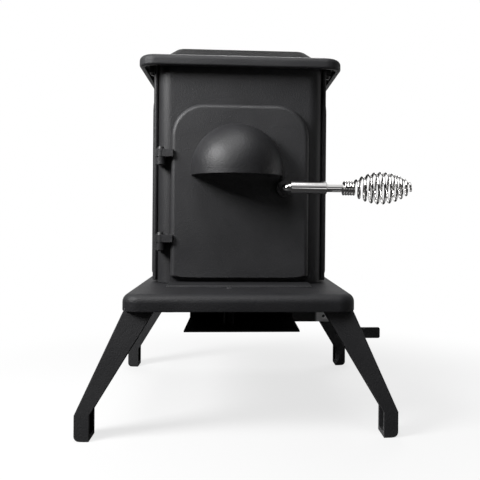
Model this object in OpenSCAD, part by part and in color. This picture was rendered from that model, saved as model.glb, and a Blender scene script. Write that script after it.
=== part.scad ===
// Small box-shaped cast-iron wood stove on four splayed channel legs.
// Z is up and the door faces -Y. The origin is on the floor, under the middle of the outline at rest.

/* [Base plate] */
// Width of the base plate
base_w = 254; // [240:1:280]
// Depth of the base plate, front rim to rear rim
base_d = 394; // [370:1:420]
// Height of the rim, from its lower edge to the deck's top
rim_h = 19; // [17:0.5:24]
// Thickness of the deck
deck_t = 7; // [6:0.5:9]
// Thickness of the rim wall
rim_t = 5.5; // [5:0.5:7]
// Plan radius of the corners
base_corner_r = 20; // [14:1:30]
// Radius of the rim's upper edge
rim_edge_r = 7; // [3:0.5:8]
// Height of the raised seat under the firebox
seat_h = 3; // [2:0.5:4]
// Depth of the raised sill in front of the door
sill_d = 45; // [30:1:50]
// Distance from the front rim to the front casting's face
apron = 117; // [105:1:125]

/* [Legs] */
// Floor to the rim's lower edge
stand_h = 139; // [125:1:160]
// Half of the width across the feet
foot_reach = 175.5; // [165:0.5:182]
// Width of a foot
foot_w = 16; // [14:0.5:20]
// Height of the upright foot below the knee
foot_h = 28; // [20:1:40]
// Width of a leg where it meets the deck
leg_top_w = 34; // [28:1:36]
// Depth of a leg along Y
leg_d = 30; // [26:1:40]
// Wall of the leg channel
leg_t = 5; // [4:0.5:6]
// Distance from the base's edge to the leg's near face
leg_inset = 7; // [6.5:0.5:12]
// Distance from the base's side to the leg's outer face at the deck
leg_side_inset = 7.4; // [7.4:0.2:14]
// Thickness of the bolting pad
pad_t = 7; // [5:0.5:9]

/* [Firebox] */
// Width across the side plates
body_w = 219; // [205:1:235]
// Depth from the front casting's face to the side plates' rear edge
body_d = 245; // [220:1:265]
// Height from the raised seat to the top plate's underside
wall_h = 272; // [255:1:300]
// Thickness of the cast walls
wall = 6; // [5:0.5:7]
// Thickness of the front casting's face
front_t = 7; // [6:0.5:9]
// Radius of the front casting's upright corners
front_corner_r = 18; // [12:1:22]
// Depth of the front casting's side returns
return_d = 26; // [24:1:34]
// Distance from the front face to the side plates' front edges
side_setback = 14; // [10:1:17]
// Thickness of the rear plate
rear_t = 7; // [6:0.5:9]

/* [Top plate] */
// Overhang of the lip beyond the side plates
top_side = 16.5; // [14:0.5:20]
// Overhang of the lip in front of the front casting
top_front = 16; // [12:1:24]
// Overhang of the lip behind the side plates
top_rear = 10; // [6:1:16]
// Height of the lip
lip_h = 14; // [12:0.5:18]
// Thickness of the lip wall and of the plate
top_t = 7; // [5:0.5:7]
// Plan radius of the top plate's corners
top_corner_r = 22; // [14:1:30]
// Foot width of the raised cooking surface
cook_w = 203; // [190:1:212]
// Foot depth of the raised cooking surface
cook_d = 226; // [200:1:230]
// Height of the raised cooking surface
cook_h = 17; // [12:0.5:18]
// Run of its sloping edge
cook_slope = 19.5; // [14:0.5:24]

/* [Door] */
// Distance from the side plate's outer face to the door's edge
door_side = 24; // [23:0.5:27]
// Height of the door
door_h = 214.5; // [205:0.5:225]
// Gap between the base plate's deck and the door
door_lift = 8.5; // [6:0.5:10]
// Thickness of the door
door_t = 8; // [7:0.5:10]
// Gap between the door and the front casting
door_gap = 1; // [0.8:0.1:1.5]
// Radius of the door's front edge at its sides and top
door_bevel = 6; // [3:0.5:6]
// Radius of the door's upper corners
door_top_r = 27; // [20:1:32]
// How far the door covers the front casting beside the opening
mouth_side = 18.5; // [17:0.5:20]
// How far the door covers the front casting above and below the opening
door_cover = 12; // [11:0.5:13]
// Width of the gasket rope
rope_w = 8; // [6:0.5:8]
// Depth of the rope's groove
rope_groove = 3; // [2:0.5:4]

/* [Draft hood] */
// Outer radius of the quarter dome
hood_r = 56.5; // [48:0.5:57]
// Distance of the hood's middle from the door's middle
hood_x = -2.5; // [-4:0.5:4]
// Wall of the dome
hood_t = 4; // [3:0.5:5]
// Height of the straight skirt below the dome
hood_skirt = 8; // [4:0.5:12]
// Height of the hood's rim above the base plate's deck
hood_lift = 134; // [130:1:138]
// Width of one air slot in the door
air_slot_w = 10; // [6:0.5:12]
// Height of one air slot in the door
air_slot_h = 28; // [18:1:30]

/* [Hinges] */
// Distance from the door's edge to the hinge axis
hinge_side = 12; // [11.5:0.5:13]
// Distance from the front casting's face to the hinge axis
hinge_y = 8; // [7.5:0.5:9]
// Radius of the hinge pin
hinge_pin_r = 3; // [2.5:0.1:3.2]
// Height of one frame knuckle
knuckle_h = 8; // [7:0.5:10]
// Thickness of one door arm
arm_h = 9; // [7:0.5:11]
// Height of the lower hinge's joint face above the deck
hinge_low = 51.5; // [40:0.5:60]
// Height of the upper hinge's joint face above the deck
hinge_high = 156.5; // [150:0.5:175]

/* [Latch and handle] */
// Distance from the door's free edge to the latch rod
latch_side = 31.5; // [28:0.5:32]
// Height of the latch rod above the deck
latch_z = 118.5; // [112:0.5:121]
// Radius of the latch rod
rod_r = 4.8; // [4.5:0.1:5]
// Distance from the front casting's face to the handle's axis
handle_out = 45; // [40:1:50]
// Centre-line radius of the rod's bend
bend_r = 5.5; // [5.5:0.5:8]
// Length of the sleeve
sleeve_l = 43; // [34:1:50]
// Radius of the sleeve
sleeve_r = 7.5; // [6.5:0.1:8]
// Length of bare rod between sleeve and coil
neck_l = 18; // [10:0.5:24]
// Radius of the boss round the rod
boss_r = 9.5; // [8:0.5:10]
// Reach of the latch tongue from the rod's axis
tongue_l = 22; // [21:0.5:23]
// Width of the latch tongue
tongue_w = 12; // [10:0.5:14]
// Thickness of the latch tongue
tongue_t = 5; // [4:0.5:6]

/* [Coil grip] */
// Diameter of the coil's wire
wire_d = 2.8; // [2.4:0.1:3]
// Closed turns on the rod
closed_turns = 4; // [3:1:6]
// Open turns of the grip
open_turns = 10; // [9:1:11]
// Gap between the closed turns
closed_gap = 0.55; // [0.5:0.05:0.8]
// Length of the open part
grip_l = 71; // [60:1:72]
// Swelling of the open part's centre line
grip_bulge = 12.6; // [10:0.1:13]

/* [Flue outlet] */
// Radius of the flue outlet's bore
flue_r = 51; // [48:0.5:55]
// Height of the flue's axis above the deck
flue_lift = 182; // [175:1:190]
// Wall of the collar
collar_t = 4; // [3:0.5:5]
// Ledge of the rear plate that stops the pipe
pipe_stop = 3; // [2:0.5:5]
// Length of the collar behind its flange
collar_l = 28; // [20:1:30]
// Thickness of the collar's flange
flange_t = 6; // [5:0.5:7]
// Width of the flange outside the collar
flange_w = 14; // [13:0.5:16]

/* [Grate] */
// Width of the grate
grate_w = 168; // [150:2:174]
// Depth of the grate
grate_d = 190; // [170:2:196]
// Thickness of the grate
grate_t = 8; // [7:0.5:10]
// Height of the grate's feet
grate_lift = 14; // [12:0.5:20]
// Width of the gaps between the bars
grate_gap = 9; // [7:0.5:10]

/* [Air slide] */
// Width of one air slot in the deck
port_w = 12; // [10:0.5:14]
// Length of one air slot in the deck
port_l = 90; // [70:1:94]
// Distance between the air slots
port_pitch = 26; // [25:0.5:28]
// Distance from the front casting's face to the middle of the air slots
port_back = 85; // [80:1:100]
// Thickness of the slide
slide_t = 3; // [2:0.5:3]
// Height of the pull bar's flat
pull_h = 14; // [12:0.5:16]
// Thickness of the pull bar
pull_t = 3; // [2:0.5:3.5]
// Height of the pull bar's upper edge above the floor
pull_z = 119; // [112:1:121]
// Drop of the cranked tab
pull_drop = 22; // [16:1:26]
// Distance from the middle of the stove to the tab's end
pull_reach = 186; // [178:1:190]

/* [Ember shield] */
// Width of the ember shield
shield_w = 128; // [110:1:140]
// Distance of the shield's middle from the stove's middle
shield_x = 3; // [0:0.5:8]
// Distance from the front rim to the shield's front edge
shield_inset = 22; // [16:1:30]
// Height of the shield's floor above the ground
shield_z = 116; // [105:1:120]
// Thickness of the sheet
sheet_t = 2; // [1.5:0.5:2]

/* [Hidden] */
$fn = 64;

run_gap = 0.3;       // clearance between pieces that move past each other
fit_gap = 0.05;      // radial clearance of a pin, rod or bolt in its hole
over = 1;            // how far a cut runs past the face it opens

// Heights
deck_z = stand_h + rim_h;
deck_under = deck_z - deck_t;
seat_z = deck_z + seat_h;
wall_top = seat_z + wall_h;
lip_z = wall_top - (lip_h - top_t);
cook_z = wall_top + top_t;
door_z = deck_z + door_lift;
rod_z = deck_z + latch_z;
flue_z = deck_z + flue_lift;

// Depths
front_y = -base_d / 2 + apron;
back_y = front_y + body_d;
side_front_y = front_y + side_setback;
door_back_y = front_y - door_gap;
door_front_y = door_back_y - door_t;
handle_y = front_y - handle_out;
hinge_axis_y = front_y - hinge_y;
rear_plate_y = back_y - wall - run_gap - rear_t;
side_in = body_w / 2 - wall;
top_w = body_w + 2 * top_side;
door_w = body_w - 2 * door_side;
mouth_w = door_w - 2 * mouth_side;
hinge_x = door_w / 2 + hinge_side;
latch_x = door_w / 2 - latch_side;

// Door
boss_l = 14;
hub_wall = 3.2;
arm_r = 6;
ear_reach = 6;       // from the hinge axis to the end of the arm's thick ear
pin_head_r = 4.4;
pin_head_h = 3;
rope_low_r = 14;
rope_side = (mouth_side - door_cover) / 2;

// Fuel opening
mouth_z = door_z + door_cover;
mouth_h = door_h - 2 * door_cover;
mouth_top_r = door_top_r - 7;
notch_x = latch_x + tongue_l + 2.5;

// Legs
leg_y = base_d / 2 - leg_inset - leg_d / 2;
leg_top_x = base_w / 2 - leg_side_inset;
leg_round = 4;
foot_round = 6;      // of the outer edge that stands on the floor
pad_z = deck_under - 9;
pad_bolt_x = leg_top_x - leg_top_w - 10;
leg_bolt_r = 4;
leg_bolt_l = 14;
socket_gap = 0.3;

sill_h = 2.5;

// Small fasteners
bolt_r = 3;
screw_r = 2.5;
bite = 4;            // how deep a small screw goes into a casting
blind = 0.5;         // room past the end of a screw or bolt
base_bolt_bite = 9;
ear_screw_r = 2;
ear_w = 6.5;
ear_h = 9;
ear_l = 16;
top_bolt_x = body_w / 2 + ear_w / 2;
top_bolt_ys = [side_front_y + 16, back_y - 26];
foot_lug = 16;
base_bolt_x = side_in - foot_lug / 2;
base_bolt_ys = [side_front_y + 42, back_y - 46];
panel_side = 12;
panel_low = 8;
panel_high = 42;
panel_rib = 10;
front_screw_y = front_y + return_d - 5;
front_screw_zs = [seat_z + 40, wall_top - 40];

// Air slide
port_y = front_y + port_back;
slide_d = port_l + 20;
port_xs = [-port_pitch, 0, port_pitch];
slide_travel = port_pitch / 2;
slide_z = deck_under - run_gap - slide_t;
slide_y = port_y + 2 - slide_d / 2;
slide_left = -port_pitch - slide_travel - port_w / 2 - 7;
slide_right = port_pitch + port_w / 2 + 34;
guide_w = 13.5;
guide_lip = 4;
guide_t = 2.5;
guide_left = slide_left - 14;
guide_right = slide_right - 22;
guide_z = slide_z - run_gap - guide_t;
lug_w = 20;
lug_y = slide_y + 4;
pull_left = slide_right - lug_w;
pull_hole_x = 111;
pull_hole_r = 2.2;
pull_corner = 1.5;   // chamfer of the tab's end
crank_start = 126;
crank_end = 156;

// Ember shield
shield_front_y = -base_d / 2 + shield_inset;
shield_wall_y = front_y + 1;
shield_flange = 11;
shield_screw_xs = [shield_x - 40, shield_x + 40];
spacer_x = -12;
spacer_y = shield_front_y + 41;
spacer_r = 6;

// Coil grip
wire_r = wire_d / 2;
ring_steps = 8;
ring_sides = 6;
coil_r = (rod_r + run_gap + wire_r) / cos(180 / ring_steps);
coil_end_r = 4.6;
coil_ease = 0.16;    // how much closer the turns lie at both ends of the open part
coil_pitch = wire_d + closed_gap;
coil_x = latch_x + bend_r + sleeve_l + neck_l;
rod_end = coil_x + closed_turns * coil_pitch;

// The outline at rest runs from the left feet to the tip of the grip
origin_x = (rod_end + grip_l + wire_r - foot_reach) / 2;

// ---- Shared shapes ----

// A rectangle with its middle on the origin and round corners
module round_rect(w, d, r) {
    square([w - 2 * r, d], center = true);
    square([w, d - 2 * r], center = true);
    for (x = [-1, 1], y = [-1, 1]) translate([x * (w / 2 - r), y * (d / 2 - r)]) circle(r);
}

// A slot with round ends, its length along Y
module slot(w, l) {
    square([w, l - w], center = true);
    for (s = [-1, 1]) translate([0, s * (l - w) / 2]) circle(w / 2);
}

// An upright outline on the ground line, with two radii: one below, one above
module arch_rect(w, h, r_low, r_high) {
    translate([-w / 2, r_low]) square([w, h - r_low - r_high]);
    translate([-w / 2 + r_low, 0]) square([w - 2 * r_low, h / 2]);
    translate([-w / 2 + r_high, h / 2]) square([w - 2 * r_high, h / 2]);
    for (s = [-1, 1]) {
        translate([s * (w / 2 - r_low), r_low]) circle(r_low);
        translate([s * (w / 2 - r_high), h - r_high]) circle(r_high);
    }
}

// A slab with round plan corners and rounded upper and lower edges, standing on z = 0
module soft_slab(w, d, h, r, edge_high, edge_low) {
    steps = 5;
    profile = concat(
        [[0, 0]],
        [for (i = [0:steps]) let (a = -90 + 90 * i / steps)
            [r - edge_low + edge_low * cos(a), edge_low + edge_low * sin(a)]],
        [for (i = [0:steps]) let (a = 90 * i / steps)
            [r - edge_high + edge_high * cos(a), h - edge_high + edge_high * sin(a)]],
        [[0, h]]
    );
    hull() for (x = [-1, 1], y = [-1, 1])
        translate([x * (w / 2 - r), y * (d / 2 - r), 0]) rotate_extrude($fn = 32) polygon(profile);
}

// Lays an upright outline against the plane y = 0, with its thickness towards -Y
module facing_front(t) {
    rotate([90, 0, 0]) linear_extrude(t) children();
}

// A cylinder along +Y
module rod_y(r, l) {
    rotate([-90, 0, 0]) cylinder(r = r, h = l);
}

// A hexagon head or nut on z = 0
module hexagon(flats, h) {
    cylinder(r = flats / sqrt(3), h = h, $fn = 6);
}

// A hexagon bolt: the head's seat is on z = 0 and the shank goes up
module hex_bolt(r, l) {
    cylinder(r = r, h = l);
    translate([0, 0, -1.3 * r]) hexagon(3.3 * r, 1.3 * r);
}

// A round-headed screw: the head's seat is on z = 0 and the shank goes up
module round_screw(r, l) {
    cylinder(r = r, h = l);
    translate([0, 0, -r]) cylinder(r1 = 1.1 * r, r2 = 1.5 * r, h = r);
}

// Puts a piece into the frame whose origin is under the middle of the outline
module placed() {
    translate([-origin_x, 0, 0]) children();
}

// ---- Base and legs ----

// Horizontal section of a leg at height z, between its inner and outer faces
module leg_slice(z, inner, outer, grow) {
    translate([(inner + outer) / 2, 0, z]) linear_extrude(0.01)
        round_rect(outer - inner + 2 * grow, leg_d + 2 * grow, leg_round, $fn = 16);
}

// The leg's full envelope, standing on the right with its middle on y = 0
module leg_envelope(grow = 0) {
    hull() {
        leg_slice(deck_under - 0.01, leg_top_x - leg_top_w, leg_top_x, grow);
        leg_slice(foot_h, foot_reach - foot_w, foot_reach, grow);
    }
}

// The space inside the channel between two heights
module leg_hollow(z_low, in_low, out_low, z_high, in_high, out_high) {
    hull() for (s = [[z_low, in_low, out_low], [z_high, in_high, out_high]])
        translate([s[1] - 20, -leg_d / 2 + leg_t, s[0]])
            cube([s[2] - leg_t - s[1] + 20, leg_d - 2 * leg_t, 0.01]);
}

// The foot below the knee, its outer edge rounded where it stands on the floor
module foot_block(knee_in) {
    intersection() {
        translate([knee_in + foot_w / 2, 0, 0]) linear_extrude(foot_h + 0.01)
            round_rect(foot_w, leg_d, leg_round, $fn = 16);
        translate([0, leg_d / 2 + over, 0]) facing_front(leg_d + 2 * over) {
            translate([knee_in - over, 0]) square([foot_w + over - foot_round, foot_h + over]);
            translate([knee_in - over, foot_round]) square([foot_w + 2 * over, foot_h]);
            translate([foot_reach - foot_round, foot_round]) circle(foot_round, $fn = 24);
        }
    }
}

module leg() {
    knee_in = foot_reach - foot_w;
    difference() {
        union() {
            leg_envelope();
            foot_block(knee_in);
            translate([pad_bolt_x - 12, -leg_d / 2, pad_z]) cube([leg_top_w + 8, leg_d, pad_t]);
        }
        leg_hollow(foot_h, knee_in, foot_reach, pad_z,
            leg_x_at(pad_z) - leg_w_at(pad_z), leg_x_at(pad_z));
        leg_hollow(leg_t, knee_in, foot_reach, foot_h + 0.01, knee_in, foot_reach);
        translate([pad_bolt_x, 0, pad_z - over]) cylinder(r = leg_bolt_r + fit_gap, h = pad_t + 2 * over);
    }
}

// Outer face of the leg, and its width, at height z between knee and deck
function leg_x_at(z) = foot_reach + (leg_top_x - foot_reach) * (z - foot_h) / (deck_under - foot_h);
function leg_w_at(z) = foot_w + (leg_top_w - foot_w) * (z - foot_h) / (deck_under - foot_h);

// Puts a right-hand leg at one corner: side is -1 or 1 in X, end is -1 or 1 in Y
module at_corner(side, end) {
    scale_x = side;
    translate([0, end * leg_y, 0]) mirror([scale_x < 0 ? 1 : 0, 0, 0]) children();
}

module base_plate() {
    color("#262728") difference() {
        union() {
            difference() {
                translate([0, 0, stand_h]) soft_slab(base_w, base_d, rim_h, base_corner_r, rim_edge_r, 1);
                translate([0, 0, stand_h - over]) linear_extrude(rim_h - deck_t + over)
                    round_rect(base_w - 2 * rim_t, base_d - 2 * rim_t, base_corner_r - rim_t);
            }
            // Raised seat under the side and rear plates
            translate([-body_w / 2, front_y + front_t + run_gap, deck_z - over])
                cube([body_w, body_d - front_t - run_gap, seat_h + over]);
            // Low sill in front of the door
            translate([-door_w / 2, front_y - sill_d, deck_z - over])
                cube([door_w, sill_d - run_gap, sill_h + over]);
            // Bosses for the leg bolts
            for (x = [-1, 1], y = [-1, 1]) translate([x * pad_bolt_x, y * leg_y, pad_z + pad_t])
                cylinder(r = 11, h = deck_under - pad_z - pad_t + over);
        }
        for (x = [-1, 1], y = [-1, 1]) {
            at_corner(x, y) intersection() {
                leg_envelope(socket_gap);
                translate([0, -leg_d, 0]) cube([2 * foot_reach, 2 * leg_d, deck_under]);
            }
            translate([x * pad_bolt_x, y * leg_y, pad_z]) cylinder(r = leg_bolt_r + fit_gap, h = leg_bolt_l + blind);
        }
        // Air slots under the grate
        for (x = port_xs) translate([x, port_y, deck_under - over])
            linear_extrude(deck_t + seat_h + 2 * over) slot(port_w, port_l);
        // Bolt holes to the side plates
        for (x = [-1, 1], y = base_bolt_ys) translate([x * base_bolt_x, y, deck_under - over])
            cylinder(r = bolt_r + fit_gap, h = deck_t + seat_h + 2 * over);
        // Screw holes of the shield and of the slide's guides
        translate([spacer_x, spacer_y, deck_under - over]) cylinder(r = bolt_r + fit_gap, h = deck_t + 2 * over);
        for (x = shield_screw_xs) translate([x, shield_wall_y + shield_flange / 2 + 1, deck_under - over])
            cylinder(r = screw_r + fit_gap, h = bite + blind + over);
        guide_screw_places() translate([0, 0, deck_under - over])
            cylinder(r = screw_r + fit_gap, h = bite + blind + over);
    }
}

module leg_bolts() {
    color("#3a3a3c") for (x = [-1, 1], y = [-1, 1])
        translate([x * pad_bolt_x, y * leg_y, pad_z]) hex_bolt(leg_bolt_r, leg_bolt_l);
}

// ---- Firebox ----

// Plan of the front casting: a face with round corners and two side returns
module front_plan(inset) {
    w = 2 * (side_in - run_gap) - 2 * inset;
    r = front_corner_r - inset;
    translate([0, front_y + inset]) intersection() {
        union() {
            translate([-w / 2 + r, 0]) square([w - 2 * r, return_d]);
            translate([-w / 2, r]) square([w, return_d]);
            for (s = [-1, 1]) translate([s * (w / 2 - r), r]) circle(r);
        }
        translate([-w / 2 - over, -over]) square([w + 2 * over, return_d + over + (inset > 0 ? over : 0)]);
    }
}

// Fuel opening, with the notch that lets the latch tongue through
module mouth_outline() {
    translate([0, mouth_z]) arch_rect(mouth_w, mouth_h, 8, mouth_top_r);
    translate([latch_x - 4, rod_z - tongue_w / 2 - 2.5]) square([notch_x - latch_x + 4, tongue_w + 5]);
}

module front_casting() {
    color("#2a2b2c") difference() {
        union() {
            difference() {
                translate([0, 0, deck_z]) linear_extrude(wall_top - deck_z) difference() {
                    front_plan(0);
                    front_plan(front_t - 1);
                    translate([-mouth_w / 2 - 14, front_y + front_t - 1]) square([mouth_w + 28, return_d]);
                }
            }
            // The face is thicker round the opening
            translate([0, front_y + front_t, 0]) facing_front(front_t - 1)
                translate([0, deck_z]) arch_rect(mouth_w + 50, wall_top - deck_z, 1, 1);
            // Hinge knuckles
            for (z = [hinge_low, hinge_high]) translate([-hinge_x, hinge_axis_y, deck_z + z - knuckle_h]) {
                cylinder(r = 5.5, h = knuckle_h);
                translate([-5, 0, 0]) cube([10, front_y - hinge_axis_y + front_t + 1, knuckle_h]);
            }
        }
        translate([0, front_y + front_t + over, 0]) facing_front(front_t + 2 * over) mouth_outline();
        for (z = [hinge_low, hinge_high])
            translate([-hinge_x, hinge_axis_y, deck_z + z - knuckle_h - over])
                cylinder(r = hinge_pin_r + fit_gap, h = knuckle_h + 2 * over);
        // Room for the raised seat, and screw holes in the returns
        translate([-body_w / 2, front_y + front_t, deck_z - over]) cube([body_w, return_d + over, seat_h + over]);
        for (s = [-1, 1], z = front_screw_zs) translate([s * (side_in - wall - 3), front_screw_y, z])
            rotate([0, 90 * s, 0]) cylinder(r = screw_r + fit_gap, h = wall + 4);
    }
}

// One side plate on the right: outer wall, groove ribs for the rear plate, bolt ears and foot lugs
module side_plate() {
    d = back_y - side_front_y;
    difference() {
        union() {
            translate([side_in, side_front_y, seat_z]) cube([wall, d, wall_h]);
            // Raised frame on the outside
            translate([body_w / 2, (side_front_y + back_y) / 2, 0]) rotate([0, 0, 90]) rotate([90, 0, 0])
                linear_extrude(2) difference() {
                    translate([0, seat_z + panel_low])
                        arch_rect(d - 2 * panel_side, wall_h - panel_low - panel_high, 6, 16);
                    translate([0, seat_z + panel_low + panel_rib])
                        arch_rect(d - 2 * panel_side - 2 * panel_rib,
                            wall_h - panel_low - panel_high - 2 * panel_rib, 4, 10);
                }
            for (y = [rear_plate_y - run_gap - wall, back_y - wall])
                translate([side_in - wall, y, seat_z]) cube([wall + over, wall, wall_h]);
            for (y = top_bolt_ys) translate([body_w / 2 - over, y - ear_l / 2, wall_top - ear_h])
                cube([ear_w + over, ear_l, ear_h]);
            for (y = base_bolt_ys) translate([side_in - foot_lug, y - foot_lug / 2, seat_z])
                cube([foot_lug + over, foot_lug, 12]);
        }
        for (y = top_bolt_ys) translate([top_bolt_x, y, wall_top - ear_h - over])
            cylinder(r = ear_screw_r + fit_gap, h = ear_h + 2 * over);
        for (y = base_bolt_ys) translate([base_bolt_x, y, seat_z - over])
            cylinder(r = bolt_r + fit_gap, h = base_bolt_bite + blind + over);
        for (z = front_screw_zs) translate([side_in - over, front_screw_y, z]) rotate([0, 90, 0])
            cylinder(r = screw_r + fit_gap, h = wall - 2 + over);
    }
}

module rear_plate() {
    color("#242526") difference() {
        translate([-side_in + run_gap, rear_plate_y, seat_z]) cube([2 * (side_in - run_gap), rear_t, wall_h]);
        translate([0, rear_plate_y - over, flue_z]) rod_y(flue_r - pipe_stop, rear_t + 2 * over);
        collar_bolt_places() translate([0, 0, -over]) cylinder(r = bolt_r + fit_gap, h = rear_t + 2 * over);
    }
}

module top_plate() {
    d = top_front + body_d + top_rear;
    middle_y = front_y - top_front + d / 2;
    color("#2c2d2e") difference() {
        union() {
            translate([0, middle_y, lip_z]) soft_slab(top_w, d, lip_h, top_corner_r, 6, 2);
            translate([0, middle_y, cook_z - over]) cook_surface();
        }
        // The walls stand inside the lip
        translate([0, middle_y, lip_z - over]) linear_extrude(wall_top - lip_z + over)
            round_rect(top_w - 2 * top_t + 2, d - 2 * top_t + 2, top_corner_r - top_t + 1);
        translate([0, middle_y, wall_top - over]) linear_extrude(cook_h - 2 + over)
            round_rect(cook_w - 2 * cook_slope, cook_d - 2 * cook_slope, 8);
        for (s = [-1, 1], y = top_bolt_ys) translate([s * top_bolt_x, y, wall_top - over])
            cylinder(r = ear_screw_r + fit_gap, h = 5 + over);
    }
}

// Raised cooking surface with sloping edges
module cook_surface() {
    hull() {
        linear_extrude(over) round_rect(cook_w, cook_d, 14, $fn = 32);
        translate([0, 0, cook_h]) linear_extrude(over)
            round_rect(cook_w - 2 * cook_slope, cook_d - 2 * cook_slope, 8, $fn = 32);
    }
}

module front_screws() {
    color("#77777a") for (s = [-1, 1], z = front_screw_zs)
        translate([s * (side_in - run_gap - front_t + 1), front_screw_y, z]) rotate([0, 90 * s, 0])
            round_screw(screw_r, front_t - 1 + run_gap + wall - 2.5);
}

module base_bolts() {
    color("#3a3a3c") for (s = [-1, 1], y = base_bolt_ys)
        translate([s * base_bolt_x, y, deck_under]) hex_bolt(bolt_r, deck_t + seat_h + base_bolt_bite);
}

module top_bolts() {
    color("#9a9a9d") for (s = [-1, 1], y = top_bolt_ys)
        translate([s * top_bolt_x, y, wall_top - ear_h]) round_screw(ear_screw_r, ear_h + 4.5);
}

// ---- Flue outlet ----

module collar_bolt_places() {
    for (a = [45:90:315])
        translate([0, rear_plate_y, flue_z]) rotate([0, a, 0])
            translate([flue_r + collar_t + flange_w / 2, 0, 0]) rotate([-90, 0, 0]) children();
}

module flue_collar() {
    face_y = rear_plate_y + rear_t;
    color("#262728") difference() {
        union() {
            translate([0, face_y, flue_z]) rod_y(flue_r + collar_t + flange_w, flange_t);
            translate([0, face_y, flue_z]) rod_y(flue_r + collar_t, flange_t + collar_l);
        }
        translate([0, face_y - over, flue_z]) rod_y(flue_r, flange_t + collar_l + 2 * over);
        collar_bolt_places() cylinder(r = bolt_r + fit_gap, h = rear_t + flange_t + over);
    }
}

module collar_bolts() {
    color("#3a3a3c") collar_bolt_places() translate([0, 0, rear_t + flange_t]) mirror([0, 0, 1])
        hex_bolt(bolt_r, rear_t + flange_t - 0.5);
}

// ---- Grate ----

module fire_grate() {
    bars = floor((grate_w - 2 * 10 + grate_gap) / (2 * grate_gap));
    slot_l = (grate_d - 3 * 12) / 2;
    middle_y = (front_y + return_d + rear_plate_y) / 2 - 4;
    color("#3b3a39") translate([0, middle_y, seat_z]) {
        translate([0, 0, grate_lift]) linear_extrude(grate_t) difference() {
            round_rect(grate_w, grate_d, 12);
            for (i = [0:bars - 1], s = [-1, 1])
                translate([(i - (bars - 1) / 2) * 2 * grate_gap, s * (slot_l + 12) / 2])
                    slot(grate_gap, slot_l);
        }
        for (x = [-1, 1], y = [-1, 1]) translate([x * (grate_w / 2 - 6), y * (grate_d / 2 - 12), 0])
            cylinder(r1 = 4, r2 = 5.5, h = grate_lift);
    }
}

// ---- Ember shield ----

module ember_shield() {
    color("#0f0f10") difference() {
        translate([shield_x, 0, 0]) rotate([90, 0, 90]) translate([0, 0, -shield_w / 2])
            linear_extrude(shield_w) union() {
                translate([shield_front_y, shield_z - sheet_t])
                    square([shield_wall_y - shield_front_y + sheet_t, sheet_t]);
                translate([shield_wall_y, shield_z - sheet_t]) square([sheet_t, deck_under - shield_z + sheet_t]);
                translate([shield_wall_y, deck_under - sheet_t]) square([shield_flange + sheet_t, sheet_t]);
            }
        translate([spacer_x, spacer_y, shield_z - sheet_t - over])
            cylinder(r = bolt_r + fit_gap, h = sheet_t + 2 * over);
        for (x = shield_screw_xs)
            translate([x, shield_wall_y + shield_flange / 2 + 1, deck_under - sheet_t - over])
                cylinder(r = screw_r + fit_gap, h = sheet_t + 2 * over);
    }
}

module shield_spacer() {
    color("#1b1b1c") translate([spacer_x, spacer_y, shield_z]) difference() {
        cylinder(r = spacer_r, h = deck_under - shield_z);
        translate([0, 0, -over]) cylinder(r = bolt_r + fit_gap, h = deck_under - shield_z + 2 * over);
    }
}

module shield_screws() {
    color("#a8a8aa") {
        translate([spacer_x, spacer_y, shield_z - sheet_t])
            round_screw(bolt_r, deck_z - shield_z + sheet_t + blind);
        for (x = shield_screw_xs) translate([x, shield_wall_y + shield_flange / 2 + 1, deck_under - sheet_t])
            round_screw(screw_r, sheet_t + bite);
    }
}

// ---- Air slide ----

module guide_screw_places() {
    for (x = [guide_left + 8, guide_right - 8],
         y = [slide_y - run_gap - guide_w / 2 - 1, slide_y + slide_d + run_gap + guide_w / 2 + 1])
        translate([x, y, 0]) children();
}

// One guide along the slide's front edge: a block with a lip under the slide
module slide_guide() {
    l = guide_right - guide_left;
    difference() {
        union() {
            translate([guide_left, slide_y - run_gap - guide_w, guide_z]) cube([l, guide_w, deck_under - guide_z]);
            translate([guide_left, slide_y - run_gap - over, guide_z]) cube([l, guide_lip + over, guide_t]);
        }
        guide_screw_places() translate([0, 0, guide_z - over])
            cylinder(r = screw_r + fit_gap, h = deck_under - guide_z + 2 * over);
    }
}

module slide_guides() {
    color("#1b1b1c") {
        slide_guide();
        translate([0, 2 * slide_y + slide_d, 0]) mirror([0, 1, 0]) slide_guide();
    }
}

module guide_screws() {
    color("#77777a") guide_screw_places() translate([0, 0, guide_z]) round_screw(screw_r, deck_under - guide_z + bite);
}

module air_slide() {
    color("#3a3a3c") difference() {
        union() {
            translate([slide_left, slide_y, slide_z]) cube([slide_right - slide_left, slide_d, slide_t]);
            translate([pull_left, lug_y, pull_z - pull_h]) cube([lug_w, slide_t, slide_z - pull_z + pull_h + slide_t]);
        }
        for (x = port_xs) translate([x - slide_travel, port_y, slide_z - over])
            linear_extrude(slide_t + 2 * over) slot(port_w, port_l);
        rivet_places() translate([0, 0, -over]) cylinder(r = screw_r + fit_gap, h = pull_t + slide_t + 2 * over);
    }
}

// The two rivets of the pull bar, each along +Y from the bar's front face
module rivet_places() {
    for (x = [pull_left + 5, pull_left + lug_w - 5])
        translate([x, lug_y - pull_t, pull_z - pull_h / 2]) rotate([-90, 0, 0]) children();
}

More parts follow.
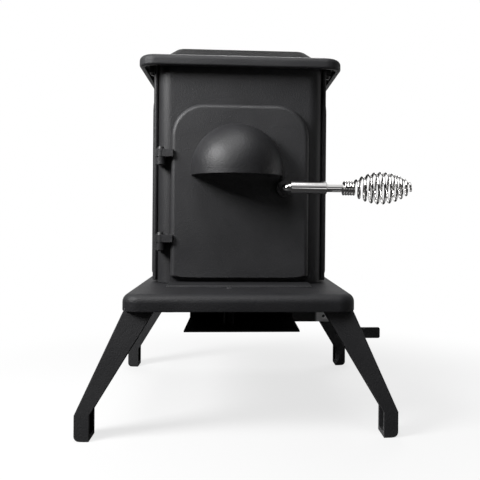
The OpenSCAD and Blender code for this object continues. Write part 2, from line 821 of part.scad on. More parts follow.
// Cranked flat bar: level behind the front leg, and a lower tab outside it
module pull_bar() {
    tab_end = pull_reach - pull_corner;
    tab_low = pull_z - pull_h - pull_drop;
    color("#8a8a8c") difference() {
        translate([0, lug_y, 0]) facing_front(pull_t) union() {
            polygon([
                [pull_left, pull_z - pull_h], [crank_start, pull_z - pull_h],
                [crank_end, tab_low], [tab_end, tab_low],
                [pull_reach, tab_low + pull_corner], [pull_reach, tab_low + pull_h - pull_corner],
                [tab_end, tab_low + pull_h], [crank_end + 4, tab_low + pull_h],
                [crank_start + 4, pull_z], [pull_left, pull_z]
            ]);
        }
        rivet_places() translate([0, 0, -over]) cylinder(r = screw_r + fit_gap, h = pull_t + 2 * over);
        translate([pull_hole_x, lug_y - pull_t - over, pull_z - pull_h / 2]) rod_y(pull_hole_r, pull_t + 2 * over);
    }
}

module pull_rivets() {
    color("#8a8a8c") rivet_places() {
        cylinder(r = screw_r, h = pull_t + slide_t);
        translate([0, 0, -1.5]) cylinder(r1 = 3, r2 = 4.5, h = 1.5);
        translate([0, 0, pull_t + slide_t]) cylinder(r1 = 4.5, r2 = 3, h = 1.5);
    }
}

// ---- Door ----

// Outline of the door, drawn in by inset at the sides and top and by low at the bottom
module door_outline(inset, low) {
    translate([0, door_z + low]) arch_rect(door_w - 2 * inset, door_h - inset - low, 4, door_top_r - inset);
}

// Ring that the gasket rope fills
module rope_ring() {
    outer = (door_cover - rope_w) / 2;
    difference() {
        rope_outline(outer);
        rope_outline(outer + rope_w);
    }
}

module rope_outline(inset) {
    side_inset = inset + rope_side;
    translate([0, door_z + inset])
        arch_rect(door_w - 2 * side_inset, door_h - 2 * inset, rope_low_r - inset, door_top_r - inset - 3);
}

module door_panel() {
    color("#2b2c2d") difference() {
        union() {
            translate([0, door_back_y, 0]) hull() for (a = [0:22.5:90])
                facing_front(door_t - door_bevel + door_bevel * sin(a))
                    door_outline(door_bevel * (1 - cos(a)), a < 90 ? 0 : 1, $fn = 48);
            // Bosses of the latch rod, outside and inside
            translate([latch_x, door_front_y - boss_l, rod_z]) rod_y(boss_r, boss_l + over);
            translate([latch_x, door_back_y - over, rod_z])
                rod_y(rod_r + hub_wall, front_y + front_t - door_back_y + over);
            // Hinge arms
            for (z = [hinge_low, hinge_high]) translate([0, hinge_axis_y, deck_z + z + run_gap])
                linear_extrude(arm_h) {
                    translate([-hinge_x, 0]) circle(arm_r);
                    translate([-hinge_x - arm_r, 0.5 - arm_r]) square([arm_r + ear_reach, arm_r + 1]);
                    translate([-hinge_x, 0]) square([ear_reach, hinge_y - door_gap]);
                    // Thin neck into the door's rim
                    translate([-hinge_x, hinge_y - door_gap - 4]) square([hinge_side + door_bevel, 4]);
                }
        }
        translate([latch_x, door_front_y - boss_l - over, rod_z])
            rod_y(rod_r + fit_gap, cam_y - door_front_y + boss_l + 2 * over);
        for (z = [hinge_low, hinge_high]) translate([-hinge_x, hinge_axis_y, deck_z + z])
            cylinder(r = hinge_pin_r + fit_gap, h = arm_h + 2 * over);
        translate([0, door_back_y + over, 0]) facing_front(rope_groove + over) rope_ring();
        // Air slots inside the hood
        for (x = [-24, 0, 24]) translate([hood_x + x, door_back_y + over, deck_z + hood_lift + 12 + air_slot_h / 2])
            facing_front(door_t + 2 * over) slot(air_slot_w, air_slot_h);
        hood_screw_places() translate([0, 0, -over]) cylinder(r = screw_r + fit_gap, h = door_t + 2 * over);
    }
}

// The hood's two screws, each along -Y from the door's back
module hood_screw_places() {
    for (s = [-1, 1]) translate([hood_x + s * (hood_r - hood_t - 5), door_back_y, deck_z + hood_lift + hood_skirt + 8])
        rotate([90, 0, 0]) children();
}

module draft_hood() {
    rim_z = deck_z + hood_lift;
    color("#2b2c2d") difference() {
        union() {
            translate([hood_x, door_front_y, rim_z + hood_skirt]) rotate([0, 0, 180]) rotate_extrude(angle = 180)
                intersection() {
                    difference() {
                        hood_profile(hood_r, hood_skirt);
                        hood_profile(hood_r - hood_t, hood_skirt + over);
                    }
                    translate([0, -hood_skirt]) square([hood_r, hood_r + hood_skirt]);
                }
            // Screw bosses on the inner wall
            intersection() {
                hood_screw_places() translate([0, 0, door_t]) cylinder(r = 6, h = 12);
                translate([hood_x, door_front_y, rim_z + hood_skirt]) sphere(hood_r - hood_t / 2, $fn = 64);
            }
        }
        hood_screw_places() cylinder(r = screw_r + fit_gap, h = door_t + 9);
    }
}

module hood_profile(r, skirt) {
    circle(r, $fn = 96);
    translate([0, -skirt]) square([r, skirt]);
}

module hood_screws() {
    color("#77777a") hood_screw_places() round_screw(screw_r, door_t + 8);
}

module door_gasket() {
    color("#6f6c66") translate([0, front_y - run_gap, 0])
        facing_front(door_gap - run_gap + rope_groove) rope_ring();
}

module hinge_pins() {
    color("#2f3031") for (z = [hinge_low, hinge_high])
        translate([-hinge_x, hinge_axis_y, deck_z + z - knuckle_h - pin_head_h]) {
            cylinder(r = hinge_pin_r, h = knuckle_h + arm_h + pin_head_h + run_gap);
            translate([0, 0, knuckle_h + arm_h + pin_head_h + run_gap])
                cylinder(r1 = pin_head_r, r2 = pin_head_r - 1, h = pin_head_h);
        }
}

// ---- Latch and handle ----

cam_y = front_y + front_t + run_gap;
nut_y = cam_y + tongue_t;

module latch_rod() {
    color("#b9b9bb") {
        translate([latch_x, handle_y + bend_r, rod_z]) rod_y(rod_r, nut_y + 8 - handle_y - bend_r);
        translate([latch_x + bend_r, handle_y + bend_r, rod_z]) rotate([0, 0, 180])
            rotate_extrude(angle = 90) translate([bend_r, 0]) circle(rod_r);
        translate([latch_x + bend_r, handle_y, rod_z]) rotate([0, 90, 0])
            cylinder(r = rod_r, h = rod_end - latch_x - bend_r);
    }
}

module latch_sleeve() {
    color("#c4c4c6") translate([latch_x + bend_r, handle_y, rod_z]) rotate([0, 90, 0]) difference() {
        union() {
            translate([0, 0, 0.8]) cylinder(r = sleeve_r, h = sleeve_l - 1.6);
            cylinder(r1 = sleeve_r - 0.8, r2 = sleeve_r, h = 0.8);
            translate([0, 0, sleeve_l - 0.8]) cylinder(r1 = sleeve_r, r2 = sleeve_r - 0.8, h = 0.8);
        }
        translate([0, 0, -over]) cylinder(r = rod_r + fit_gap, h = sleeve_l + 2 * over);
    }
}

module latch_cam() {
    color("#5a5a5c") translate([latch_x, cam_y, rod_z]) difference() {
        union() {
            rod_y(rod_r + hub_wall, tongue_t);
            translate([0, tongue_t, 0]) facing_front(tongue_t) {
                translate([0, -tongue_w / 2]) square([tongue_l - 3, tongue_w]);
                translate([tongue_l - 4, -tongue_w / 2 + 1]) square([4, tongue_w - 2]);
            }
        }
        translate([0, -over, 0]) rod_y(rod_r + fit_gap, tongue_t + 2 * over);
    }
}

module cam_nut() {
    color("#77777a") translate([latch_x, nut_y, rod_z]) rotate([-90, 0, 0]) difference() {
        hexagon(13.5, 6);
        translate([0, 0, -over]) cylinder(r = rod_r + fit_gap, h = 6 + 2 * over);
    }
}

// Centre line of the coil at a number of turns: closed on the rod, then swelling like an egg
function coil_s(t) = let (u = max(0, (t - closed_turns) / open_turns)) u - coil_ease * sin(360 * u) / (2 * PI);
function coil_swell(s) = pow(max(0, sin(180 * pow(s, 1.12))), 0.86);
function coil_radius(t) = coil_r + (coil_end_r - coil_r) * coil_s(t) + grip_bulge * coil_swell(coil_s(t));
function coil_along(t) = coil_x + wire_r + min(t, closed_turns) * coil_pitch + (grip_l - 2 * wire_r) * coil_s(t);
function coil_point(t) = [
    coil_along(t),
    handle_y - coil_radius(t) * sin(360 * t),
    rod_z - coil_radius(t) * cos(360 * t)
];
coil_turns = closed_turns + open_turns;
coil_middle = [for (i = [0:coil_turns * ring_steps]) coil_point(i / ring_steps)];
coil_start_dir = unit(coil_middle[1] - coil_middle[0]);
coil_end_dir = unit(coil_middle[len(coil_middle) - 1] - coil_middle[len(coil_middle) - 2]);
coil_path = concat(
    [coil_middle[0] - wire_d * coil_start_dir],
    coil_middle,
    [coil_middle[len(coil_middle) - 1] + wire_d * coil_end_dir]
);

// Least gap between two stretches of wire that are more than half a turn apart
coil_gap = min([
    for (i = [0:len(coil_path) - 1], j = [i + 5:1:min(len(coil_path) - 1, i + 3 * ring_steps)])
        norm(coil_path[i] - coil_path[j])
]) - wire_d;
echo(coil_least_gap = coil_gap);

function unit(v) = v / norm(v);

// Points of one ring of the wire, square to the path, with one side turned away from the coil's axis
function wire_ring(i) =
    let (
        last = len(coil_path) - 1,
        along = unit(coil_path[min(i + 1, last)] - coil_path[max(i - 1, 0)]),
        from_axis = [0, coil_path[i][1] - handle_y, coil_path[i][2] - rod_z],
        out = unit(from_axis - (from_axis * along) * along),
        side = cross(along, out)
    )
    [for (k = [0:ring_sides - 1]) let (a = 360 * k / ring_sides)
        coil_path[i] + wire_r * (cos(a) * out + sin(a) * side)];

module coil_grip() {
    rings = len(coil_path);
    points = [for (i = [0:rings - 1]) each wire_ring(i)];
    walls = [
        for (i = [0:rings - 2], k = [0:ring_sides - 1])
            let (a = i * ring_sides + k, b = i * ring_sides + (k + 1) % ring_sides)
            each [[a, b + ring_sides, b], [a, a + ring_sides, b + ring_sides]]
    ];
    caps = [
        for (k = [1:ring_sides - 2]) each [
            [0, k, k + 1],
            [(rings - 1) * ring_sides, (rings - 1) * ring_sides + k + 1, (rings - 1) * ring_sides + k]
        ]
    ];
    color("#c4c4c6") polyhedron(points, concat(walls, caps));
}

placed() base_plate();
placed() color("#242526") at_corner(-1, -1) leg();  // front_left_leg
placed() color("#242526") at_corner(1, -1) leg();  // front_right_leg
placed() color("#242526") at_corner(-1, 1) leg();  // rear_left_leg
placed() color("#242526") at_corner(1, 1) leg();  // rear_right_leg
placed() leg_bolts();
placed() front_casting();
placed() color("#2a2b2c") mirror([1, 0, 0]) side_plate();  // left_side_plate
placed() color("#2a2b2c") side_plate();  // right_side_plate
placed() rear_plate();
placed() top_plate();
placed() front_screws();
placed() base_bolts();
placed() top_bolts();
placed() flue_collar();
placed() collar_bolts();
placed() fire_grate();
placed() ember_shield();
placed() shield_spacer();
placed() shield_screws();
placed() slide_guides();
placed() guide_screws();
placed() air_slide();
placed() pull_bar();
placed() pull_rivets();
placed() door_panel();
placed() draft_hood();
placed() hood_screws();
placed() door_gasket();
placed() hinge_pins();
placed() latch_rod();
placed() latch_sleeve();
placed() coil_grip();
placed() latch_cam();
placed() cam_nut();
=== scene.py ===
# %% [markdown]
# # A small cast-iron camp stove
#
# The stove's solids come from a CAD model: base plate, legs, firebox walls, door, latch and air slide, each in its
# true place. This lesson dresses them. The big castings are modelled again with the soft edges that sand casting
# gives, the coil grip gets its full round wire, and every piece gets a material built from nodes.
#
# All lengths below are in millimetres of the stove itself: x = 0 is the middle of the door, y = 0 the middle of the
# base plate, z = 0 the floor, and the door faces -Y. One function turns such a place into metres in the CAD frame.

# %% Load the CAD frame
import math

import bmesh
import bpy
from mathutils import Matrix, Vector


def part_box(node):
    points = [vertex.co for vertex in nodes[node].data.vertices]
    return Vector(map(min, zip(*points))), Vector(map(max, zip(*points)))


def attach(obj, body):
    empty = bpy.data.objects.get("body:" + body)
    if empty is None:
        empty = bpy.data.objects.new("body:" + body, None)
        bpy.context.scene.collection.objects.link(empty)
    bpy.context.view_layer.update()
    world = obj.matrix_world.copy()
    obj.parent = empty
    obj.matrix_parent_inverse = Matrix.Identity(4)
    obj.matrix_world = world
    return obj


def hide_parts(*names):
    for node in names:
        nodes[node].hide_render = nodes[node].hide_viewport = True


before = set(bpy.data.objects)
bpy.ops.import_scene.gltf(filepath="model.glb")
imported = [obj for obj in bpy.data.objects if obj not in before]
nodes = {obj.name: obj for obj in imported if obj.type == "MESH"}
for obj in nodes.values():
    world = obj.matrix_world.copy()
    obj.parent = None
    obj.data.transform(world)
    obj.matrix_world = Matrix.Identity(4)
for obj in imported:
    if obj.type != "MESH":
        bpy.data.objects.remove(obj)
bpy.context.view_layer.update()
MM = 0.001

base_low, base_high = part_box("base_plate")
stove_middle = (base_low.x + base_high.x) / 2


def place(x, y, z):
    """A point of the stove in millimetres, as a point of the frame in metres."""
    return Vector((stove_middle + x * MM, y * MM, z * MM))


def stove_box(node):
    """The two corners of a CAD node, in millimetres of the stove."""
    low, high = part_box(node)
    shift = Vector((stove_middle, 0, 0))
    return (low - shift) / MM, (high - shift) / MM


print("CAD nodes:", len(nodes), "middle of the stove at x =", round(stove_middle, 5))

# %% [markdown]
# ## Camera
#
# The photograph looks almost straight at the door from a little below the top plate, from about 0.9 m. The camera's
# place, turn and lens follow from the vanishing point of the base plate's sides and from known edges. The picture
# was cropped off its lens axis, so the lens is shifted a little.

# %% Camera
PHOTO_SIDE = 480
FOCAL_PX = 646.9
AXIS_PX = (279.8, 218.0)

camera_data = bpy.data.cameras.new("photo_camera")
camera_data.sensor_width = 36
camera_data.lens = FOCAL_PX / PHOTO_SIDE * camera_data.sensor_width
camera_data.shift_x = (PHOTO_SIDE / 2 - AXIS_PX[0]) / PHOTO_SIDE
camera_data.shift_y = (AXIS_PX[1] - PHOTO_SIDE / 2) / PHOTO_SIDE
camera_data.clip_start, camera_data.clip_end = 0.01, 30
camera = bpy.data.objects.new("photo_camera", camera_data)
bpy.context.scene.collection.objects.link(camera)
bpy.context.scene.camera = camera

yaw, pitch, roll = math.radians(-3.854), math.radians(-0.004), math.radians(0.492)
forward = Vector((-math.sin(yaw) * math.cos(pitch), math.cos(yaw) * math.cos(pitch), math.sin(pitch)))
level_right = Vector((math.cos(yaw), math.sin(yaw), 0))
level_up = level_right.cross(forward)
right = math.cos(roll) * level_right + math.sin(roll) * level_up
up = -math.sin(roll) * level_right + math.cos(roll) * level_up
camera.rotation_mode = "QUATERNION"
camera.rotation_quaternion = Matrix((right, up, -forward)).transposed().to_quaternion()
camera.location = place(-4.5, -890.5, 240.45)
print("camera lens", round(camera_data.lens, 2), "mm at", [round(c, 3) for c in camera.location])

# %% [markdown]
# ## Floor, backdrop and light
#
# The photograph is a studio shot on white. The floor is a wide pale sheet that turns fully white away from the stove,
# so it has no horizon, and close to the feet it keeps a soft shadow. It gives little light back, because the
# undersides in the photograph are black, and more only under the right half, where the pull bar is lit from below.
# Mirrors see it white behind the stove and in front on the right.
#
# A soft lamp hangs on the left, rather low, because the left faces and left bevels of the iron shine, the right ones
# stay dark and the hood throws a short black shadow. A lamp above and one at the rear draw the highlights along the
# rims, and a weak one on the right shows the side that the first leaves dark. The world is bright behind and above
# and dim in front, as a dark room behind the camera is, so the shiny metal gets its dark bands. It shines little on
# the matte iron, whose shadows are black in the photograph.

# %% Nodes and links
def node(tree, kind, **values):
    """A node whose named inputs are set; a key that is no input sets the node's own property."""
    made = tree.nodes.new(kind)
    for key, value in values.items():
        label = key.replace("_", " ").title()
        if label in made.inputs:
            made.inputs[label].default_value = value
        else:
            setattr(made, key, value)
    return made


def join(tree, source, target):
    tree.links.new(source, target)


# %% Shader arithmetic
def ramp(tree, source, start, end, low=0.0, high=1.0, curve="SMOOTHSTEP"):
    """Maps a value from start..end to low..high without overshoot: smoothly, or evenly with LINEAR."""
    fade = node(tree, "ShaderNodeMapRange", interpolation_type=curve, from_min=start, from_max=end, to_min=low,
                to_max=high)
    join(tree, source, fade.inputs["Value"])
    return fade.outputs["Result"]


def math_node(tree, operation, *values, clamp=False):
    """One step of arithmetic. Each value may be a number or a socket."""
    step = node(tree, "ShaderNodeMath", operation=operation, use_clamp=clamp)
    for socket, value in zip(step.inputs, values):
        if isinstance(value, (int, float)):
            socket.default_value = value
        else:
            join(tree, value, socket)
    return step.outputs[0]


def times(tree, first, second):
    """The product of two masks."""
    return math_node(tree, "MULTIPLY", first, second)


def axes(tree, source):
    """The X, Y and Z sockets of a vector."""
    parts = node(tree, "ShaderNodeSeparateXYZ")
    join(tree, source, parts.inputs[0])
    return parts.outputs


def object_point(tree):
    """Where a point of the surface is, in the metres of its object."""
    return node(tree, "ShaderNodeTexCoord").outputs["Object"]


# %% Floor material
FLOOR_BOUNCE = 0.04      # share of the light that the floor gives back
PATCH_BOUNCE = 0.7       # the same under the right half
FLOOR_SEEN = 0.8         # how pale the camera sees the matte floor
GLOW_SEEN = (0.75, 1.0)  # how much white the camera sees, near the stove and further out
CARD_WHITE = 0.9         # how white mirrors see it


def floor_material():
    """A matte floor that turns white to the camera further out, and to mirrors behind and in front on the right."""
    material = bpy.data.materials.new("pale_floor")
    material.use_nodes = True
    tree = material.node_tree
    tree.nodes.clear()
    distance = node(tree, "ShaderNodeVectorMath", operation="LENGTH")
    join(tree, object_point(tree), distance.inputs[0])
    x, y, _ = axes(tree, object_point(tree))
    path = node(tree, "ShaderNodeLightPath").outputs
    seen = times(tree, path["Is Camera Ray"], ramp(tree, distance.outputs["Value"], 0.22, 0.6, *GLOW_SEEN))
    card_behind = ramp(tree, y, 0.2, 1.4, 0.0, CARD_WHITE)
    card_in_front = times(tree, ramp(tree, y, -1.05, -0.95, CARD_WHITE, 0.0), ramp(tree, x, 0.15, 0.22))
    mirrored = times(tree, path["Is Glossy Ray"], math_node(tree, "ADD", card_behind, card_in_front))
    patch = times(tree, ramp(tree, x, 0.0, 0.06, 0.0, PATCH_BOUNCE),
                  times(tree, ramp(tree, y, -0.20, -0.17), ramp(tree, y, 0.0, 0.06, 1.0, 0.0)))
    bounce = math_node(tree, "ADD", patch, FLOOR_BOUNCE)
    pale = math_node(tree, "MAXIMUM", bounce, times(tree, path["Is Camera Ray"], FLOOR_SEEN))
    matte = node(tree, "ShaderNodeBsdfDiffuse")
    join(tree, pale, matte.inputs["Color"])
    glow = node(tree, "ShaderNodeEmission", color=(1, 1, 1, 1))
    mix = node(tree, "ShaderNodeMixShader")
    join(tree, math_node(tree, "ADD", seen, mirrored, clamp=True), mix.inputs["Fac"])
    join(tree, matte.outputs[0], mix.inputs[1])
    join(tree, glow.outputs[0], mix.inputs[2])
    join(tree, mix.outputs[0], node(tree, "ShaderNodeOutputMaterial").inputs["Surface"])
    return material


# %% Floor
def deselect_all():
    if bpy.context.object and bpy.context.object.mode != "OBJECT":
        bpy.ops.object.mode_set(mode="OBJECT")
    bpy.ops.object.select_all(action="DESELECT")


deselect_all()
bpy.ops.mesh.primitive_plane_add(size=12, location=(0, 0, 0))
floor = bpy.context.object
floor.name = "studio_floor"
floor.data.materials.append(floor_material())
print("floor:", floor.name, [round(side, 1) for side in floor.dimensions], "m")

# %% Lamps
def soft_lamp(name, where, aim, size, watts):
    data = bpy.data.lights.new(name, "AREA")
    data.shape = "RECTANGLE"
    data.size, data.size_y = size
    data.energy = watts
    lamp = bpy.data.objects.new(name, data)
    bpy.context.scene.collection.objects.link(lamp)
    lamp.location = where
    lamp.rotation_mode = "QUATERNION"
    lamp.rotation_quaternion = (Vector(aim) - Vector(where)).to_track_quat("-Z", "Y")


STOVE_HEART = (0, -0.05, 0.28)
soft_lamp("key_lamp", (-0.71, -0.53, 0.79), STOVE_HEART, (0.37, 0.37), 13.5)
soft_lamp("top_lamp", (-0.11, -0.61, 1.50), STOVE_HEART, (0.5, 0.5), 7)
soft_lamp("rear_lamp", (0.0, 0.82, 1.31), STOVE_HEART, (0.5, 0.5), 6)
soft_lamp("side_lamp", (1.35, 0.30, 0.42), (0, 0, 0.2), (0.5, 0.3), 0.8)

# %% World
world = bpy.data.worlds.new("studio_world")
bpy.context.scene.world = world
world.use_nodes = True
dome = world.node_tree
dome.nodes.clear()
sky = node(dome, "ShaderNodeBackground", color=(1, 1, 1, 1))
sky_x, sky_y, sky_z = axes(dome, node(dome, "ShaderNodeTexCoord").outputs["Generated"])
sky_path = node(dome, "ShaderNodeLightPath").outputs
DIM_SHARE = 0.25  # what the matte iron gets of the light behind
behind = ramp(dome, sky_y, 0.1, 0.8, 0.0, 0.55)
above = times(dome, ramp(dome, sky_z, 0.15, 0.85, 0.02, 0.85),
              ramp(dome, math_node(dome, "ABSOLUTE", sky_x), 0.1, 0.35, 1.0, 0.1))
for_mirrors = times(dome, sky_path["Is Glossy Ray"], above)
for_all = times(dome, behind, ramp(dome, sky_path["Is Glossy Ray"], 0.0, 1.0, DIM_SHARE, 1.0))
studio = math_node(dome, "ADD", for_mirrors, for_all)
white = math_node(dome, "MAXIMUM", studio, sky_path["Is Camera Ray"])
join(dome, white, sky.inputs["Strength"])
join(dome, sky.outputs[0], node(dome, "ShaderNodeOutputWorld").inputs["Surface"])
bpy.context.scene.view_settings.view_transform = "Standard"
print("world:", world.name, "with", len(dome.nodes), "nodes")

# %% [markdown]
# ## Shared node groups
#
# Four effects come back in several materials, so each is a node group: the sandy grain of a casting, wear along
# edges, dust on faces that look up, and the fine scratches of brushed steel. A group gives masks and heights only,
# and each material mixes them with its own colours. The nodes could be copied into every material instead, but then
# a change of the grain would have to be made ten times.

# %% Empty groups
def new_group(name, inputs, outputs):
    """An empty shader group. Each socket is (name, kind, default)."""
    group = bpy.data.node_groups.new(name, "ShaderNodeTree")
    for label, kind, value in inputs:
        socket = group.interface.new_socket(name=label, in_out="INPUT", socket_type=kind)
        socket.default_value = value
    for label, kind in outputs:
        group.interface.new_socket(name=label, in_out="OUTPUT", socket_type=kind)
    group_in = group.nodes.new("NodeGroupInput")
    group_out = group.nodes.new("NodeGroupOutput")
    return group, group_in, group_out


# %% Cast grain
FLOAT = "NodeSocketFloat"
PIT_SHARE, WAVE_SHARE = 0.2, 0.3


def build_cast_grain():
    """Height and mottling of a sand casting: fine sand, coarser pits and a slow waviness."""
    group, gin, gout = new_group("cast_grain", [("Size", FLOAT, 1.0)], [("Height", FLOAT), ("Mottle", FLOAT)])
    scaled = node(group, "ShaderNodeVectorMath", operation="SCALE")
    join(group, object_point(group), scaled.inputs[0])
    join(group, gin.outputs["Size"], scaled.inputs["Scale"])
    sand = node(group, "ShaderNodeTexNoise", scale=900.0, detail=2.0, roughness=0.6)
    pits = node(group, "ShaderNodeTexVoronoi", scale=420.0)
    waves = node(group, "ShaderNodeTexNoise", scale=28.0, detail=3.0, roughness=0.5)
    for texture in (sand, pits, waves):
        join(group, scaled.outputs[0], texture.inputs["Vector"])
    sand_and_pits = math_node(group, "ADD", sand.outputs["Fac"], times(group, pits.outputs["Distance"], PIT_SHARE))
    height = math_node(group, "MULTIPLY_ADD", waves.outputs["Fac"], WAVE_SHARE, sand_and_pits)
    join(group, height, gout.inputs["Height"])
    join(group, ramp(group, waves.outputs["Fac"], 0.35, 0.65, curve="LINEAR"), gout.inputs["Mottle"])
    return group


cast_grain = build_cast_grain()
print(cast_grain.name, "has", len(cast_grain.nodes), "nodes")


# %% Edge wear
def build_edge_wear():
    """A mask that is 1 on outer edges, broken up by noise: where a rounded normal leaves the true one."""
    group, gin, gout = new_group("edge_wear", [("Radius", FLOAT, 0.0018), ("Scale", FLOAT, 90.0)], [("Mask", FLOAT)])
    shape = node(group, "ShaderNodeNewGeometry")
    rounded = node(group, "ShaderNodeBevel", samples=6)
    join(group, gin.outputs["Radius"], rounded.inputs["Radius"])
    turned = node(group, "ShaderNodeVectorMath", operation="DOT_PRODUCT")
    join(group, rounded.outputs[0], turned.inputs[0])
    join(group, shape.outputs["Normal"], turned.inputs[1])
    edge = ramp(group, turned.outputs["Value"], 0.8, 0.985, 1.0, 0.0)
    outer = ramp(group, shape.outputs["Pointiness"], 0.5, 0.53)
    chips = node(group, "ShaderNodeTexNoise", detail=4.0, roughness=0.65)
    join(group, object_point(group), chips.inputs["Vector"])
    join(group, gin.outputs["Scale"], chips.inputs["Scale"])
    broken = ramp(group, chips.outputs["Fac"], 0.4, 0.6, 0.25)
    join(group, times(group, times(group, edge, outer), broken), gout.inputs["Mask"])
    return group


edge_wear = build_edge_wear()
print(edge_wear.name, "has", len(edge_wear.nodes), "nodes")


# %% Settled dust
def build_settled_dust():
    """A mask that is 1 where dust settles: on faces that look up, in soft patches."""
    group, gin, gout = new_group("settled_dust", [("Amount", FLOAT, 0.5)], [("Mask", FLOAT)])
    shape = node(group, "ShaderNodeNewGeometry")
    facing_up = ramp(group, axes(group, shape.outputs["Normal"])["Z"], 0.35, 1.0, curve="LINEAR")
    patches = node(group, "ShaderNodeTexNoise", scale=35.0, detail=5.0, roughness=0.7)
    join(group, object_point(group), patches.inputs["Vector"])
    mask = times(group, facing_up, patches.outputs["Fac"])
    join(group, math_node(group, "MULTIPLY", mask, gin.outputs["Amount"], clamp=True), gout.inputs["Mask"])
    return group


settled_dust = build_settled_dust()
print(settled_dust.name, "has", len(settled_dust.nodes), "nodes")


# %% Brushing
def build_brushing():
    """Fine lines round or along X, as turning or polishing leaves them."""
    group, gin, gout = new_group("brushing", [("Stretch", FLOAT, 40.0)], [("Height", FLOAT), ("Streak", FLOAT)])
    stretch = node(group, "ShaderNodeCombineXYZ", y=60.0, z=60.0)
    join(group, gin.outputs["Stretch"], stretch.inputs["X"])
    scaled = node(group, "ShaderNodeVectorMath", operation="MULTIPLY")
    join(group, object_point(group), scaled.inputs[0])
    join(group, stretch.outputs[0], scaled.inputs[1])
    lines = node(group, "ShaderNodeTexNoise", scale=30.0, detail=3.0, roughness=0.7)
    join(group, scaled.outputs[0], lines.inputs["Vector"])
    join(group, lines.outputs["Fac"], gout.inputs["Height"])
    join(group, ramp(group, lines.outputs["Fac"], 0.3, 0.7, curve="LINEAR"), gout.inputs["Streak"])
    return group


brushing = build_brushing()
print(brushing.name, "has", len(brushing.nodes), "nodes")

# %% [markdown]
# ## Materials
#
# The castings have a thin matte black stove paint: nearly black, a little rough, with the sand's grain showing
# through, paler where an edge is rubbed and where dust lies. Colour, roughness and bump all come from the shared
# groups. Chrome and zinc are metals whose roughness changes along the brushing. Painted images would do as well, but
# noise in the object's own metres needs no seams and keeps one scale on every piece.
#
# The castings get copies of one paint from one function, each painted paler or darker for how the light falls on
# it: painted light on the lid, door, hood and legs, painted shade on the base.

# %% Material helpers
def skin_of(material):
    """A material's node tree and its Principled node."""
    return material.node_tree, material.node_tree.nodes["Principled BSDF"]


def new_material(name):
    material = bpy.data.materials.new(name)
    material.use_nodes = True
    return material, *skin_of(material)


def group_node(tree, group, **values):
    """The outputs of a copy of a shared group, with its inputs set."""
    made = node(tree, "ShaderNodeGroup", node_tree=group)
    for key, value in values.items():
        made.inputs[key].default_value = value
    return made.outputs


def mixed(tree, fac, first, second):
    """Mixes two colours by a mask. Each may be a colour or an output socket."""
    mix = node(tree, "ShaderNodeMix", data_type="RGBA")
    join(tree, fac, mix.inputs["Factor"])
    for socket, value in ((mix.inputs["A"], first), (mix.inputs["B"], second)):
        if isinstance(value, tuple):
            socket.default_value = (*value, 1)
        else:
            join(tree, value, socket)
    return mix.outputs["Result"]


def bump(tree, skin, height, strength, depth):
    """Makes a height into relief; the depth is in metres."""
    relief = node(tree, "ShaderNodeBump", strength=strength, distance=depth)
    join(tree, height, relief.inputs["Height"])
    join(tree, relief.outputs[0], skin.inputs["Normal"])


def fed_by(skin, label):
    """The socket that feeds one of the skin's inputs now."""
    return skin.inputs[label].links[0].from_socket


# %% Painted iron and bright metal
GRAIN_SIZE = 0.8
GLOSS_SPREAD = (-0.03, 0.04)
BRUSH_DEPTH = 0.00001


def painted_iron(name, dark, light, worn, dusty, roughness=0.55, depth=0.0007, wear=0.5, dust=0.1, gleam=0.5):
    material, tree, skin = new_material(name)
    sand = group_node(tree, cast_grain, Size=GRAIN_SIZE)
    worn_share = times(tree, group_node(tree, edge_wear)["Mask"], wear)
    rubbed = mixed(tree, worn_share, mixed(tree, sand["Mottle"], dark, light), worn)
    finished = mixed(tree, group_node(tree, settled_dust, Amount=dust)["Mask"], rubbed, dusty)
    join(tree, finished, skin.inputs["Base Color"])
    smoother, rougher = (roughness + spread for spread in GLOSS_SPREAD)
    gloss = ramp(tree, sand["Mottle"], 0.0, 1.0, smoother, rougher, "LINEAR")
    join(tree, gloss, skin.inputs["Roughness"])
    bump(tree, skin, sand["Height"], 0.6, depth)
    skin.inputs["Specular IOR Level"].default_value = gleam
    return material


def bright_metal(name, colour, dull, roughness=0.2, spread=0.12, stretch=40.0):
    material, tree, skin = new_material(name)
    lines = group_node(tree, brushing, Stretch=stretch)
    join(tree, mixed(tree, lines["Streak"], dull, colour), skin.inputs["Base Color"])
    skin.inputs["Metallic"].default_value = 1.0
    gloss = ramp(tree, lines["Streak"], 0.0, 1.0, roughness, roughness + spread, "LINEAR")
    join(tree, gloss, skin.inputs["Roughness"])
    bump(tree, skin, lines["Height"], 0.3, BRUSH_DEPTH)
    return material


# %% The stove's paints
PALE_WEAR = (0.09, 0.09, 0.092)
ASH = (0.10, 0.098, 0.095)
stove_paint = painted_iron("stove_paint", (0.014, 0.014, 0.0155), (0.018, 0.018, 0.020), PALE_WEAR, ASH)
# Painted shade: the base paint is a darker copy of the stove paint.
base_shaded_paint = painted_iron("base_shaded_paint", (0.012, 0.012, 0.0135), (0.016, 0.016, 0.018), (0.07, 0.07, 0.072),
                          (0.05, 0.049, 0.047), dust=0.04, gleam=0.35)
